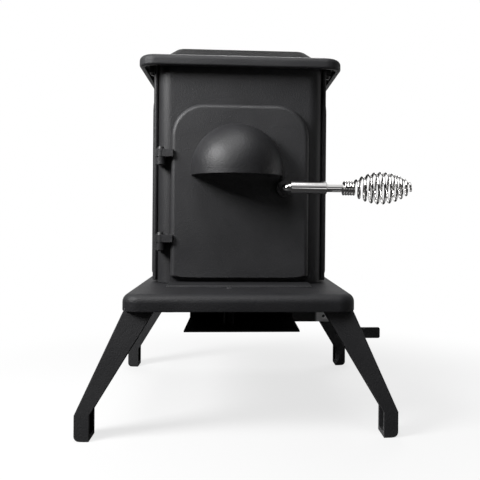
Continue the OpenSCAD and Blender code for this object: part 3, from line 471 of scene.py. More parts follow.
# Painted light: the lid, door, hood and leg paints are paler copies of the stove paint.
lid_lit_paint = painted_iron("lid_lit_paint", (0.027, 0.027, 0.029), (0.032, 0.032, 0.034), PALE_WEAR,
                         (0.06, 0.059, 0.057), dust=0.06, gleam=0.35)
door_lit_paint = painted_iron("door_lit_paint", (0.026, 0.026, 0.028), (0.030, 0.030, 0.032), PALE_WEAR, ASH,
                          roughness=0.48, dust=0.06)
hood_lit_paint = painted_iron("hood_lit_paint", (0.018, 0.018, 0.020), (0.022, 0.022, 0.024), PALE_WEAR, ASH,
                          roughness=0.46, dust=0.04)
leg_lit_paint = painted_iron("leg_lit_paint", (0.027, 0.027, 0.029), (0.032, 0.032, 0.034), (0.08, 0.08, 0.082), ASH)
inner_iron = painted_iron("inner_iron", (0.018, 0.018, 0.019), (0.03, 0.029, 0.029), (0.07, 0.068, 0.066),
                          (0.09, 0.088, 0.085), roughness=0.7)
grate_iron = painted_iron("grate_iron", (0.035, 0.033, 0.031), (0.055, 0.05, 0.047), (0.12, 0.115, 0.11),
                          (0.12, 0.115, 0.11), roughness=0.72, depth=0.0004)
sheet_paint = painted_iron("sheet_paint", (0.006, 0.006, 0.0065), (0.009, 0.009, 0.0095), (0.05, 0.05, 0.05),
                           (0.05, 0.05, 0.048), roughness=0.6, depth=0.00005, dust=0.05, gleam=0.15)
bolt_finish = painted_iron("bolt_finish", (0.012, 0.012, 0.013), (0.018, 0.018, 0.019), (0.06, 0.06, 0.06),
                           (0.05, 0.05, 0.048), roughness=0.45, depth=0.00003, wear=0.6)
print("paints:", [m.name for m in bpy.data.materials if m.name.endswith("_paint")])

# %% The bright parts
chrome_finish = bright_metal("chrome_finish", (0.88, 0.87, 0.86), (0.78, 0.77, 0.76), roughness=0.08, spread=0.06)
sleeve_finish = bright_metal("sleeve_finish", (0.90, 0.89, 0.88), (0.78, 0.77, 0.77), roughness=0.09, spread=0.05,
                             stretch=4.0)
zinc_finish = bright_metal("zinc_finish", (0.55, 0.55, 0.56), (0.4, 0.4, 0.41), roughness=0.3)
bare_steel = bright_metal("bare_steel", (0.45, 0.45, 0.46), (0.3, 0.3, 0.31), roughness=0.32, stretch=3.0)

print("metals:", [m.name for m in (chrome_finish, sleeve_finish, zinc_finish, bare_steel)])

# %% [markdown]
# ## Painted shade on the cooking surface
#
# The cooking surface is painted darker and duller than the lip round it; the darker colour is painted shade. A second
# material would need the lid's faces sorted by hand, and an edge between the two would show. Here the lid's own
# paint changes over the first two millimetres above the lip.

# %% Painted shade on the cooking surface
COOK_SHADE_Z = 440.5 * MM


def painted_shade_above(material, start, painted_shade, duller):
    """Darkens and dulls a paint above a height in metres: painted shade on the cooking surface."""
    tree, skin = skin_of(material)
    height = ramp(tree, axes(tree, object_point(tree))["Z"], start, start + 2 * MM)
    join(tree, mixed(tree, height, fed_by(skin, "Base Color"), painted_shade), skin.inputs["Base Color"])
    gloss = math_node(tree, "ADD", fed_by(skin, "Roughness"), times(tree, height, duller))
    join(tree, gloss, skin.inputs["Roughness"])


# The darker colour above the lip is painted shade.
painted_shade_above(lid_lit_paint, COOK_SHADE_Z, (0.006, 0.006, 0.0065), 0.2)
print("burnt above", round(COOK_SHADE_Z / MM, 1), "mm")

# %% [markdown]
# ## Pull bar
#
# The bar that works the air slide is black, and bright bare steel over a stretch that ends at the leg. The
# stretch is found by its place along X, with a soft edge on the left side and a hard one at the leg. A painted map
# would look finer, but the bar is small, and this follows it when it moves.

# %% Pull bar
BARE_X = (101, 140)  # where the bar is bare, up to the leg, in millimetres


def black_and_bare_bar():
    """The pull bar: black, with a stretch of bright bare steel along X that ends at the leg."""
    material = bright_metal("black_and_bare_bar", (0.85, 0.85, 0.85), (0.7, 0.7, 0.71), roughness=0.35, spread=0.1, stretch=3.0)
    tree, skin = skin_of(material)
    along = axes(tree, object_point(tree))["X"]
    bare_start, bare_end = (place(x, 0, 0).x for x in BARE_X)
    bare = times(tree, ramp(tree, along, bare_start - 2 * MM, bare_start + 2 * MM),
                 ramp(tree, along, bare_end - 0.5 * MM, bare_end + 0.5 * MM, 1.0, 0.0))
    join(tree, mixed(tree, bare, (0.005, 0.005, 0.0055), fed_by(skin, "Base Color")), skin.inputs["Base Color"])
    join(tree, bare, skin.inputs["Metallic"])
    return material


black_and_bare_finish = black_and_bare_bar()
print(black_and_bare_finish.name, "is bare from", *BARE_X, "mm")

# %% Dress the nodes
FINISHES = (
    (stove_paint, "front_casting left_side_plate right_side_plate rear_plate flue_collar"),
    (base_shaded_paint, "base_plate"),
    (lid_lit_paint, "top_plate"),
    (door_lit_paint, "door_panel"),
    (hood_lit_paint, "draft_hood"),
    (leg_lit_paint, "front_left_leg front_right_leg rear_left_leg rear_right_leg"),
    (inner_iron, "door_gasket"),
    (grate_iron, "fire_grate"),
    (sheet_paint, "ember_shield shield_spacer slide_guides air_slide"),
    (bolt_finish, "leg_bolts base_bolts collar_bolts top_bolts hinge_pins latch_cam"),
    (zinc_finish, "front_screws shield_screws guide_screws hood_screws cam_nut"),
    (black_and_bare_finish, "pull_bar"),
    (bare_steel, "pull_rivets"),
    (chrome_finish, "latch_rod coil_grip"),
    (sleeve_finish, "latch_sleeve"),
)
looks = {part: finish for finish, parts in FINISHES for part in parts.split()}


def dress(piece, material):
    piece.data.materials.clear()
    piece.data.materials.append(material)


for part, finish in looks.items():
    dress(nodes[part], finish)
print("dressed", len(looks), "of", len(nodes), "nodes")

# %% [markdown]
# ## Modelling helpers
#
# Every casting starts as a block between two corners and is shaped in edit mode. Faces and edges are picked by their
# place, with a small test per pick, so each step reads as a sentence: the upright edges near the corners, the face
# that looks down, the loop at a height. Numbers of edges and faces would be shorter to write, but they change with
# every edit before them.

# %% Blocks and rods
def own(piece, name):
    piece.name = name
    piece.data.name = name
    return piece


def tell(piece):
    """Prints a piece's size in millimetres."""
    print(piece.name, "is", " x ".join(f"{side / MM:.1f}" for side in piece.dimensions), "mm")


def activate(piece):
    """Makes the piece the active one, and the only one selected."""
    deselect_all()
    piece.select_set(True)
    bpy.context.view_layer.objects.active = piece


def apply_place(piece):
    """Puts a piece's place, turn and size into its mesh, as on a CAD node."""
    activate(piece)
    bpy.ops.object.transform_apply(location=True, rotation=True, scale=True)


def block(name, low, high):
    """A box between two corners, in millimetres of the stove."""
    deselect_all()
    low, high = place(*low), place(*high)
    bpy.ops.mesh.primitive_cube_add(size=1, location=(low + high) / 2)
    piece = own(bpy.context.object, name)
    piece.scale = high - low
    apply_place(piece)
    return piece


def rod(name, start, end, radius, sides=48):
    """A cylinder from one point to another, in millimetres of the stove."""
    deselect_all()
    start, end = place(*start), place(*end)
    bpy.ops.mesh.primitive_cylinder_add(vertices=sides, radius=radius * MM, depth=(end - start).length,
                                        location=(start + end) / 2)
    piece = own(bpy.context.object, name)
    piece.rotation_euler = (end - start).to_track_quat("Z", "Y").to_euler()
    apply_place(piece)
    return piece


# %% Picks in edit mode
NEAR = 0.1     # how close to a level an edge is picked, in millimetres
FLAT = 0.9999  # how straight a face looks along an axis to be picked


def edit(piece):
    activate(piece)
    bpy.ops.object.mode_set(mode="EDIT")
    bpy.ops.mesh.select_all(action="DESELECT")


def select_all():
    bpy.ops.mesh.select_all(action="SELECT")


def done():
    bpy.ops.object.mode_set(mode="OBJECT")


def in_stove(point):
    """A mesh point as millimetres of the stove."""
    return Vector(((point.x - stove_middle) / MM, point.y / MM, point.z / MM))


def pick(piece, kind, passes):
    """Selects the edges or faces that pass, and nothing else."""
    bpy.ops.mesh.select_mode(type=kind)
    bpy.ops.mesh.select_all(action="DESELECT")
    mesh = bmesh.from_edit_mesh(piece.data)
    for item in mesh.edges if kind == "EDGE" else mesh.faces:
        if passes(item):
            item.select_set(True)
    bmesh.update_edit_mesh(piece.data)


def pick_edges(piece, test):
    """Selects the edges whose two ends, in millimetres, pass the test."""
    pick(piece, "EDGE", lambda edge: test(*(in_stove(v.co) for v in edge.verts)))


def pick_faces(piece, test):
    """Selects the faces whose middle, in millimetres, and normal pass the test."""
    pick(piece, "FACE", lambda face: test(in_stove(face.calc_center_median()), face.normal))


# %% Shaping steps
def bevel(width, segments):
    bpy.ops.mesh.bevel(offset=width * MM, segments=segments, profile=0.5, affect="EDGES", clamp_overlap=True)


def inset(thickness):
    bpy.ops.mesh.inset(thickness=thickness * MM, depth=0, use_even_offset=True)


def push(x=0, y=0, z=0):
    """Extrudes what is selected, in millimetres."""
    bpy.ops.mesh.extrude_region_move(TRANSFORM_OT_translate={"value": (x * MM, y * MM, z * MM)})


def resize(x, y, z, about):
    bpy.ops.transform.resize(value=(x, y, z), center_override=place(*about))


# %% Modifiers and shading
def apply_modifiers(piece):
    activate(piece)
    for modifier in list(piece.modifiers):
        bpy.ops.object.modifier_apply(modifier=modifier.name)


def smooth(piece, angle=40):
    activate(piece)
    bpy.ops.object.shade_smooth_by_angle(angle=math.radians(angle))


def soften(piece, width, segments=2, angle=35):
    """Rounds every edge that is sharper than the angle and shades the rest smooth."""
    round_edges = piece.modifiers.new("soft_edges", "BEVEL")
    round_edges.width = width * MM
    round_edges.segments = segments
    round_edges.limit_method = "ANGLE"
    round_edges.angle_limit = math.radians(angle)
    round_edges.use_clamp_overlap = True
    round_edges.harden_normals = False
    apply_modifiers(piece)
    smooth(piece)


# %% Joining and cutting
def combine(piece, operation, others):
    for other in others:
        step = piece.modifiers.new("combine", "BOOLEAN")
        step.operation = operation
        step.solver = "EXACT"
        step.object = other
        apply_modifiers(piece)
        bpy.data.objects.remove(other)


def carve(piece, *cutters):
    """Cuts each cutter out of the piece and throws the cutter away."""
    combine(piece, "DIFFERENCE", cutters)


def weld(piece, *others):
    """Makes one closed skin of the piece and the others."""
    combine(piece, "UNION", others)


def gather(piece, *others):
    """Joins separate shells into one object."""
    activate(piece)
    for other in others:
        other.select_set(True)
    bpy.ops.object.join()
    return piece


# %% Standing for a CAD node
def stand_for(piece, node_name, material, body="stove"):
    """The piece takes the CAD node's place, body and finish. Its flat faces are shaded flat up to the rounds."""
    flat_shading = piece.modifiers.new("flat_shading", "WEIGHTED_NORMAL")
    flat_shading.keep_sharp = True
    apply_modifiers(piece)
    dress(piece, material)
    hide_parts(node_name)
    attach(piece, body)
    print(f"{piece.name}: {len(piece.data.polygons)} faces for {node_name}")


# %% Levels
FRONT = -80        # face of the front casting
DECK = 158         # upper side of the base plate
WALL_TOP = 433     # underside of the top plate
print("walls stand from", DECK, "to", WALL_TOP, "mm")

# %% [markdown]
# ## Top plate
#
# The lid of the stove is one casting: a lip with big round corners that hangs over the walls, and a raised cooking
# surface whose edges slope. It starts as a block. The upright edges are bevelled to the plan radius, then the upper
# rim to a soft roll. The cooking surface is a second block whose top is drawn in for the slope, welded on. A drawn
# outline could be extruded instead, but a bevelled block keeps each radius one number.

# %% Lip of the top plate
lid_low, lid_high = stove_box("top_plate")
LIP_TOP = WALL_TOP + 7
LIP_CORNER, LIP_ROLL, LIP_UNDER = 22, 6.5, 2.5
COOK_HALF = (101.5, 113)
COOK_UP = 17
COOK_SLOPE = 19.5
COOK_CORNER, COOK_EDGE = 14, 3
lid_y = (lid_low.y + lid_high.y) / 2

lid = block("top_plate_casting", (lid_low.x, lid_low.y, lid_low.z), (lid_high.x, lid_high.y, LIP_TOP))
edit(lid)
pick_edges(lid, lambda a, b: abs(a.z - b.z) > 5)
bevel(LIP_CORNER, 12)
pick_edges(lid, lambda a, b: min(a.z, b.z) > LIP_TOP - NEAR)
bevel(LIP_ROLL, 6)
pick_edges(lid, lambda a, b: max(a.z, b.z) < lid_low.z + NEAR)
bevel(LIP_UNDER, 3)
pick_faces(lid, lambda c, n: n.z < -FLAT)
inset(3.5)
push(z=WALL_TOP - lid_low.z)
done()
tell(lid)

# %% Cooking surface
cook = block("cook_surface", (-COOK_HALF[0], lid_y - COOK_HALF[1], WALL_TOP + 3),
             (COOK_HALF[0], lid_y + COOK_HALF[1], LIP_TOP))
edit(cook)
pick_edges(cook, lambda a, b: abs(a.z - b.z) > 1)
bevel(COOK_CORNER, 8)
pick_faces(cook, lambda c, n: n.z > FLAT)
push(z=COOK_UP)
resize(1 - COOK_SLOPE / COOK_HALF[0], 1 - COOK_SLOPE / COOK_HALF[1], 1, about=(0, lid_y, LIP_TOP + COOK_UP))
done()
weld(lid, cook)
carve(lid, block("hollow", (COOK_SLOPE - COOK_HALF[0], lid_y + COOK_SLOPE - COOK_HALF[1], WALL_TOP - 5),
                 (COOK_HALF[0] - COOK_SLOPE, lid_y + COOK_HALF[1] - COOK_SLOPE, WALL_TOP + 15)))
edit(lid)
pick_edges(lid, lambda a, b: min(a.z, b.z) > LIP_TOP + COOK_UP - NEAR)
bevel(COOK_EDGE, 5)
pick_edges(lid, lambda a, b: abs(a.z - LIP_TOP) < 0.05 and abs(b.z - LIP_TOP) < 0.05
           and max(abs(a.x), abs(b.x)) < COOK_HALF[0] + 0.5
           and max(abs(a.y - lid_y), abs(b.y - lid_y)) < COOK_HALF[1] + 0.5)
bevel(COOK_EDGE, 4)
done()
smooth(lid)
stand_for(lid, "top_plate", lid_lit_paint)

# %% [markdown]
# ## Base plate
#
# A deep tray turned upside down: the deck carries the firebox on a low raised seat, the rim rolls over all round,
# and the underside is open for the legs and the air slide. Three slots let air up to the grate. A Solidify modifier
# could hollow it too, but the deck is thicker than the rim, so the underside is inset and pushed up by itself.

# %% Tray
tray_low, tray_high = stove_box("base_plate")
BODY_HALF = stove_box("right_side_plate")[0].x + 6
BODY_FRONT, BODY_BACK = FRONT + 7, 165
SEAT_UP = 3
TRAY_CORNER, TRAY_WALL, TRAY_DECK = 20, 4.6, 7
RIM_ROUND, RIM_FLAT = 9.5, 1.5
tray = block("base_plate_casting", (tray_low.x, tray_low.y, tray_low.z), (tray_high.x, tray_high.y, DECK))
edit(tray)
pick_edges(tray, lambda a, b: abs(a.z - b.z) > 5)
bevel(TRAY_CORNER, 12)
pick_edges(tray, lambda a, b: min(a.z, b.z) > DECK - NEAR)
bevel(RIM_ROUND, 8)
pick_edges(tray, lambda a, b: max(a.z, b.z) < tray_low.z + NEAR)
bevel(1, 2)
pick_faces(tray, lambda c, n: n.z > FLAT)
inset(RIM_FLAT)
deck_half_x, deck_half_y = (tray_high - Vector((RIM_ROUND + RIM_FLAT, RIM_ROUND + RIM_FLAT, 0))).xy
resize((BODY_HALF + 1) / deck_half_x, ((BODY_BACK - BODY_FRONT) / 2 + 1) / deck_half_y, 1, about=(0, 0, DECK))
bpy.ops.transform.translate(value=(0, (BODY_FRONT + BODY_BACK) / 2 * MM, 0))
push(z=SEAT_UP)
pick_faces(tray, lambda c, n: n.z < -FLAT)
inset(TRAY_WALL)
push(z=DECK - TRAY_DECK - tray_low.z)
done()
smooth(tray)
tell(tray)

# %% Sill
SILL_HALF, SILL_DEEP, SILL_UP = 85.5, 45, 2.5
sill = block("sill", (-SILL_HALF, FRONT - SILL_DEEP, DECK - 2), (SILL_HALF, FRONT + 2, DECK + SILL_UP))
edit(sill)
pick_edges(sill, lambda a, b: max(a.y, b.y) < FRONT - SILL_DEEP + 1 and min(a.z, b.z) > DECK)
bevel(2.2, 4)
done()
tell(sill)
weld(tray, sill)

# %% Air slots
SLOT_HALF, SLOT_FRONT, SLOT_BACK = 6, -40, 50


def slot_cutter(name, low, high, axis):
    """A bar whose ends are round, seen along the axis; its width is along X."""
    bar = block(name, low, high)
    edit(bar)
    pick_edges(bar, lambda a, b: abs(a[axis] - b[axis]) > 1)
    bevel((high[0] - low[0]) / 2 - 0.05, 8)
    done()
    return bar


for slot_x in (-26, 0, 26):
    carve(tray, slot_cutter("air_slot", (slot_x - SLOT_HALF, SLOT_FRONT, DECK - 12),
                            (slot_x + SLOT_HALF, SLOT_BACK, DECK + 8), 2))
smooth(tray)
stand_for(tray, "base_plate", base_shaded_paint)

# %% [markdown]
# ## Front casting
#
# The front wall is bent round at both sides like a shallow tray on end, so its upright corners are wide curves. The
# fuel opening is cut with an arch, a notch lets the latch tongue through, and two knuckles carry the hinge pins.
# Only the outer skin is modelled, and a Solidify modifier gives it the wall, so both sides of a corner stay parallel.

# %% Front wall
WALL, WALL_CORNER = 6.5, 18


def thicken(piece, wall, even=True):
    """Gives an open skin a wall on its inner side."""
    skin = piece.modifiers.new("wall", "SOLIDIFY")
    skin.thickness = wall * MM
    skin.offset = -1
    skin.use_even_offset = even
    apply_modifiers(piece)


shell_low, shell_high = stove_box("front_casting")
shell = block("front_wall_casting", (shell_low.x, FRONT, shell_low.z), (shell_high.x, FRONT + 26, WALL_TOP))
edit(shell)
pick_edges(shell, lambda a, b: abs(a.z - b.z) > 5 and max(a.y, b.y) < FRONT + NEAR)
bevel(WALL_CORNER, 14)
pick_faces(shell, lambda c, n: n.y > FLAT or abs(n.z) > FLAT)
bpy.ops.mesh.delete(type="ONLY_FACE")
done()
thicken(shell, WALL)
tell(shell)

# %% Fuel opening and notch
MOUTH_HALF, MOUTH_LOW, MOUTH_HIGH = 67, 178.5, 369
ROD_X, ROD_Z = 54, 276.5
NOTCH_HALF = 8.5


def arch_cutter(name, half_width, low, high, radius_low, radius_high, y_front, y_back):
    """An upright slab with round lower and upper corners."""
    slab = block(name, (-half_width, y_front, low), (half_width, y_back, high))
    edit(slab)
    pick_edges(slab, lambda a, b: abs(a.y - b.y) > 1 and min(a.z, b.z) > high - NEAR)
    bevel(radius_high, 12)
    pick_edges(slab, lambda a, b: abs(a.y - b.y) > 1 and max(a.z, b.z) < low + NEAR)
    bevel(radius_low, 6)
    done()
    return slab


carve(shell, arch_cutter("mouth", MOUTH_HALF, MOUTH_LOW, MOUTH_HIGH, 8, 20, FRONT - 5, FRONT + 20),
      block("notch", (60, FRONT - 5, ROD_Z - NOTCH_HALF), (78.5, FRONT + 20, ROD_Z + NOTCH_HALF)))
soften(shell, 0.9, 3, angle=50)
print("opening:", 2 * MOUTH_HALF, "x", MOUTH_HIGH - MOUTH_LOW, "mm")

# %% Hinge knuckles
HINGE_X, HINGE_Y = -97.5, FRONT - 8
HINGE_ZS = (DECK + 51.5, DECK + 156.5)
KNUCKLE_TALL, KNUCKLE_R, PIN_BORE = 9.5, 5.5, 3.05
knuckles = []
for hinge_z in HINGE_ZS:
    foot_z = hinge_z - KNUCKLE_TALL
    knuckle = rod("knuckle", (HINGE_X, HINGE_Y, foot_z), (HINGE_X, HINGE_Y, hinge_z), KNUCKLE_R)
    weld(knuckle, block("knuckle_web", (HINGE_X - 5, HINGE_Y, foot_z), (HINGE_X + 4.5, FRONT + 6, hinge_z)))
    carve(knuckle, rod("pin_hole", (HINGE_X, HINGE_Y, hinge_z - 14), (HINGE_X, HINGE_Y, hinge_z + 4), PIN_BORE))
    soften(knuckle, 0.7, 2)
    knuckles.append(knuckle)
gather(shell, *knuckles)
stand_for(shell, "front_casting", stove_paint)

# %% [markdown]
# ## Legs
#
# Each leg is a channel that is open towards the inside of the stove. It comes straight out of the tray, splays
# sideways down to a knee, and ends in an upright foot. One leg is drawn down from a block under the deck, its outer
# corners are rounded, the inner side is taken away and the rest gets a wall. The other three are mirrored copies.
# A Mirror modifier would make all four one mesh, and each leg is a casting of its own.

# %% One leg
LEG_Y = 175
LEG_HALF = 15
KNEE_Z = 28
LEG_TOP_Z = 151
LEG_WALL = 5
leg_in, leg_out = 85.6, 119.6
foot_in, foot_out = 159.5, 175.5


def leg_face_x(z):
    """Where the leg's outer face is at a height."""
    return foot_out + (leg_out - foot_out) * max(0, z - KNEE_Z) / (LEG_TOP_Z - KNEE_Z)


leg = block("front_right_leg_casting", (leg_in, -LEG_Y - LEG_HALF, LEG_TOP_Z - 1),
            (leg_out, -LEG_Y + LEG_HALF, LEG_TOP_Z))
edit(leg)
pick_faces(leg, lambda c, n: n.z < -FLAT)
push(x=(foot_in + foot_out - leg_in - leg_out) / 2, z=KNEE_Z - LEG_TOP_Z + 1)
resize((foot_out - foot_in) / (leg_out - leg_in), 1, 1, about=((foot_in + foot_out) / 2, -LEG_Y, KNEE_Z))
push(z=-KNEE_Z)
pick_edges(leg, lambda a, b: max(a.z, b.z) < NEAR and min(a.x, b.x) > foot_out - NEAR)
bevel(6, 6)
pick_edges(leg, lambda a, b: abs(a.y - b.y) < NEAR and all(p.x > leg_face_x(p.z) - 6.5 for p in (a, b)))
bevel(4.5, 5)
pick_faces(leg, lambda c, n: n.z > FLAT or n.x < -0.3)
bpy.ops.mesh.delete(type="ONLY_FACE")
done()
thicken(leg, LEG_WALL)
soften(leg, 1.1, 3, angle=40)
tell(leg)

# %% Bolt pad
PAD_X, PAD_LOW, PAD_HIGH = 75.6, 142, 149
BOLT_BORE = 4.05
pad = block("pad", (PAD_X - 12, -LEG_Y - LEG_HALF + 1, PAD_LOW), (PAD_X + 28, -LEG_Y + LEG_HALF - 1, PAD_HIGH))
carve(pad, rod("bolt_hole", (PAD_X, -LEG_Y, 130), (PAD_X, -LEG_Y, 150), BOLT_BORE))
soften(pad, 1, 2)
tell(pad)
gather(leg, pad)


# %% Four legs
def mirrored(piece, name, x, y):
    """A mirrored copy across the middle of the stove, with its own mesh and its faces turned outwards again."""
    activate(piece)
    bpy.ops.object.duplicate()
    copy = own(bpy.context.object, name)
    edit(copy)
    select_all()
    resize(x, y, 1, about=(0, 0, 0))
    if x * y < 0:
        bpy.ops.mesh.flip_normals()
    done()
    return copy


for corner, x, y in (("front_left", -1, 1), ("rear_left", -1, -1), ("rear_right", 1, -1)):
    stand_for(mirrored(leg, f"{corner}_leg_casting", x, y), f"{corner}_leg", leg_lit_paint)
stand_for(leg, "front_right_leg", leg_lit_paint)

# %% [markdown]
# ## Door
#
# A thick plate with arched upper corners and a round front edge. It starts too tall: the round runs on below, and then
# the foot is cut off flat, so the lower edge stays square. The latch boss and the two hinge arms are welded on, so the
# small bevel that follows runs into the joints as a casting's fillets do. The groove at the back holds the rope, and
# three slots feed the hood. The rounding could be left to one bevel over all edges, but the wide round of the front
# and the narrow one of the joints differ, so the wide one comes first.

# %% Door plate
DOOR_HALF = 85.5
DOOR_ARCH = 41
DOOR_ROUND = 6
DOOR_LOW, DOOR_HIGH = 166.5, 381
DOOR_BACK, DOOR_FRONT = FRONT - 1, FRONT - 9
door = block("door_casting", (-DOOR_HALF, DOOR_FRONT, DOOR_LOW - 12), (DOOR_HALF, DOOR_BACK, DOOR_HIGH))
edit(door)
pick_edges(door, lambda a, b: abs(a.y - b.y) > 1 and min(a.z, b.z) > DOOR_HIGH - NEAR)
bevel(DOOR_ARCH, 20)
pick_edges(door, lambda a, b: max(a.y, b.y) < DOOR_FRONT + NEAR)
bevel(DOOR_ROUND, 6)
select_all()
bpy.ops.mesh.bisect(plane_co=place(0, 0, DOOR_LOW), plane_no=(0, 0, -1), use_fill=True, clear_outer=True)
pick_edges(door, lambda a, b: max(a.z, b.z) < DOOR_LOW + 0.01 and a.x * b.x > 0
           and min(abs(a.x), abs(b.x)) > DOOR_HALF - DOOR_ROUND - NEAR)
bevel(3, 4)
done()
tell(door)

# %% Boss and hinge arms
BOSS_R, HUB_R, ROD_BORE = 9.5, 8, 4.85
ARM_GAP, ARM_TALL, ARM_R = 0.3, 9, 6
boss = rod("boss", (ROD_X, DOOR_FRONT - 14, ROD_Z), (ROD_X, DOOR_FRONT + 2, ROD_Z), BOSS_R, 64)
hub = rod("hub", (ROD_X, DOOR_BACK - 2, ROD_Z), (ROD_X, FRONT + 7, ROD_Z), HUB_R)
arms = []
for hinge_z in HINGE_ZS:
    arm_low, arm_high = hinge_z + ARM_GAP, hinge_z + (ARM_GAP + ARM_TALL)
    arm = rod("arm", (HINGE_X, HINGE_Y, arm_low), (HINGE_X, HINGE_Y, arm_high), ARM_R)
    weld(arm, block("ear", (HINGE_X - 6, HINGE_Y - 5.5, arm_low), (-DOOR_HALF + 3, HINGE_Y + 1.5, arm_high)),
         block("ear_back", (HINGE_X, HINGE_Y, arm_low), (HINGE_X + 6, DOOR_BACK, arm_high)),
         block("neck", (HINGE_X, DOOR_BACK - 4, arm_low), (-DOOR_HALF + 6, DOOR_BACK, arm_high)))
    carve(arm, rod("pin_hole", (HINGE_X, HINGE_Y, hinge_z - 3), (HINGE_X, HINGE_Y, hinge_z + 13), PIN_BORE))
    arms.append(arm)
weld(door, boss, hub, *arms)
carve(door, rod("rod_hole", (ROD_X, DOOR_FRONT - 30, ROD_Z), (ROD_X, FRONT + 20, ROD_Z), ROD_BORE, 64))
tell(door)

# %% Hood slots and groove
HOOD_X = -2.5
HOOD_SLOT_HALF, HOOD_SLOT_LOW, HOOD_SLOT_HIGH = 5, 304, 332
ROPE_HALF, ROPE_LOW, ROPE_HIGH = 76.25, 172.5, 375
ROPE_R_LOW, ROPE_R_HIGH = 8, DOOR_ARCH - 9
GROOVE_HALF = 4


def groove_side(name, side, reach):
    """The slab within the groove's outer (1) or inner (-1) side, on either side of the rope's middle line."""
    out = side * GROOVE_HALF
    return arch_cutter(name, ROPE_HALF + out, ROPE_LOW - out, ROPE_HIGH + out, ROPE_R_LOW + out, ROPE_R_HIGH + out,
                       DOOR_BACK - reach, DOOR_BACK + reach)


for slot_x in (HOOD_X - 24, HOOD_X, HOOD_X + 24):
    carve(door, slot_cutter("hood_slot", (slot_x - HOOD_SLOT_HALF, DOOR_FRONT - 3, HOOD_SLOT_LOW),
                            (slot_x + HOOD_SLOT_HALF, DOOR_BACK + 3, HOOD_SLOT_HIGH), 1))
groove = groove_side("groove", 1, 3)
carve(groove, groove_side("groove_core", -1, 6))
carve(door, groove)
soften(door, 1.1, 3, angle=24)
stand_for(door, "door_panel", door_lit_paint, "door")

# %% [markdown]
# ## Draft hood
#
# A quarter of a sphere with a short skirt, open below, screwed over the air slots. A sphere is cut twice with
# bisect, its lower rim is pulled down for the skirt, and the skin gets a wall and a soft rim. An arc could be spun to
# the same bowl, but the sphere takes fewer steps.

# %% Draft hood
HOOD_R = 56.5
HOOD_Z = 300
HOOD_MIDDLE = -3.7
HOOD_WALL, HOOD_SKIRT = 4, 8
deselect_all()
bpy.ops.mesh.primitive_uv_sphere_add(segments=72, ring_count=36, radius=HOOD_R * MM,
                                     location=place(HOOD_MIDDLE, DOOR_FRONT, HOOD_Z))
hood = own(bpy.context.object, "draft_hood_casting")
apply_place(hood)
edit(hood)
for normal in ((0, 1, 0), (0, 0, -1)):
    select_all()
    bpy.ops.mesh.bisect(plane_co=place(0, DOOR_FRONT, HOOD_Z), plane_no=normal, clear_outer=True)
pick_edges(hood, lambda a, b: max(a.z, b.z) < HOOD_Z + 0.05)
push(z=-HOOD_SKIRT)
done()
thicken(hood, HOOD_WALL, even=False)
soften(hood, 1.3, 4, angle=50)
stand_for(hood, "draft_hood", hood_lit_paint, "door")

# %% [markdown]
# ## Coil grip
#
# A spring of round wire that keeps the grip cool. Some close turns hold it on the rod, then the turns open and swell
# like an egg, and the end curls in. The centre line is a formula in turns, a curve follows it, and the curve's bevel
# gives the round wire. A Screw modifier winds even turns only, and these grow and shrink.

# %% Round wires
def wire(name, points, radius, roundness, closed=False):
    """A round wire along a line of points, in metres, as a mesh. An open one has flat ends."""
    curve = bpy.data.curves.new(name, "CURVE")
    curve.dimensions = "3D"
    curve.bevel_depth = radius * MM
    curve.bevel_resolution = roundness
    curve.use_fill_caps = not closed
    spline = curve.splines.new("POLY")
    spline.use_cyclic_u = closed
    spline.points.add(len(points) - 1)
    for spot, point in zip(spline.points, points):
        spot.co = (*point, 1)
    piece = bpy.data.objects.new(name, curve)
    bpy.context.scene.collection.objects.link(piece)
    activate(piece)
    bpy.ops.object.convert(target="MESH")
    return piece


# %% Coil grip
WIRE_R = 1.55
coil_low, coil_high = stove_box("coil_grip")
HANDLE_Y = FRONT - 45
CLOSE_TURNS, OPEN_TURNS = 4.25, 9.9
CLOSE_R, END_R = 7.2, 4.4
CLOSE_END = coil_low.x + 14.8
GRIP_END = coil_high.x - WIRE_R
EGG_SWELL = 12.5
TIP_UP = 1.4


def coil_point(turn):
    """The wire's middle after a number of turns. The pitch grows over the first turn and shrinks over the last."""
    share = min(1, max(0, (turn - CLOSE_TURNS) / OPEN_TURNS))
    along_share = 1.057 * share - 0.0115 * (1 - math.exp(-25 * share)) - 0.0455 * share ** 8
    egg = max(0, math.sin(math.pi * min(1, along_share) ** 1.03)) ** 0.79
    radius = CLOSE_R + (END_R - CLOSE_R) * along_share + EGG_SWELL * egg
    if turn <= CLOSE_TURNS:
        along = coil_low.x + WIRE_R + (CLOSE_END - coil_low.x - WIRE_R) * turn / CLOSE_TURNS
    else:
        along = CLOSE_END + (GRIP_END - CLOSE_END) * along_share
    angle = math.tau * (turn - CLOSE_TURNS)
    return place(along, HANDLE_Y + radius * math.sin(angle), ROD_Z - radius * math.cos(angle) + TIP_UP * share)


STEPS = 32  # to each turn
turns = [i / STEPS for i in range(round((CLOSE_TURNS + OPEN_TURNS) * STEPS) + 1)]
coil = wire("coil_grip_wire", [coil_point(turn) for turn in turns], WIRE_R, 3)
smooth(coil, 60)
stand_for(coil, "coil_grip", chrome_finish, "latch")

# %% [markdown]
# ## Door rope
#
# The rope that seals the door is laid from three strands and pressed into its groove. Each strand winds round the
# groove's middle line, and the finished rope is flattened to the depth that the groove leaves it. A bump map on a
# plain tube would do from afar, but the door opens, and then the rope is seen from close by.

# %% Rope's middle line
rope_low, rope_high = stove_box("door_gasket")
rope_y = (rope_low.y + rope_high.y) / 2
ROPE_STEP = 2.0


def on_arc(x, z, radius, angle):
    return Vector((x + radius * math.cos(angle), z + radius * math.sin(angle)))


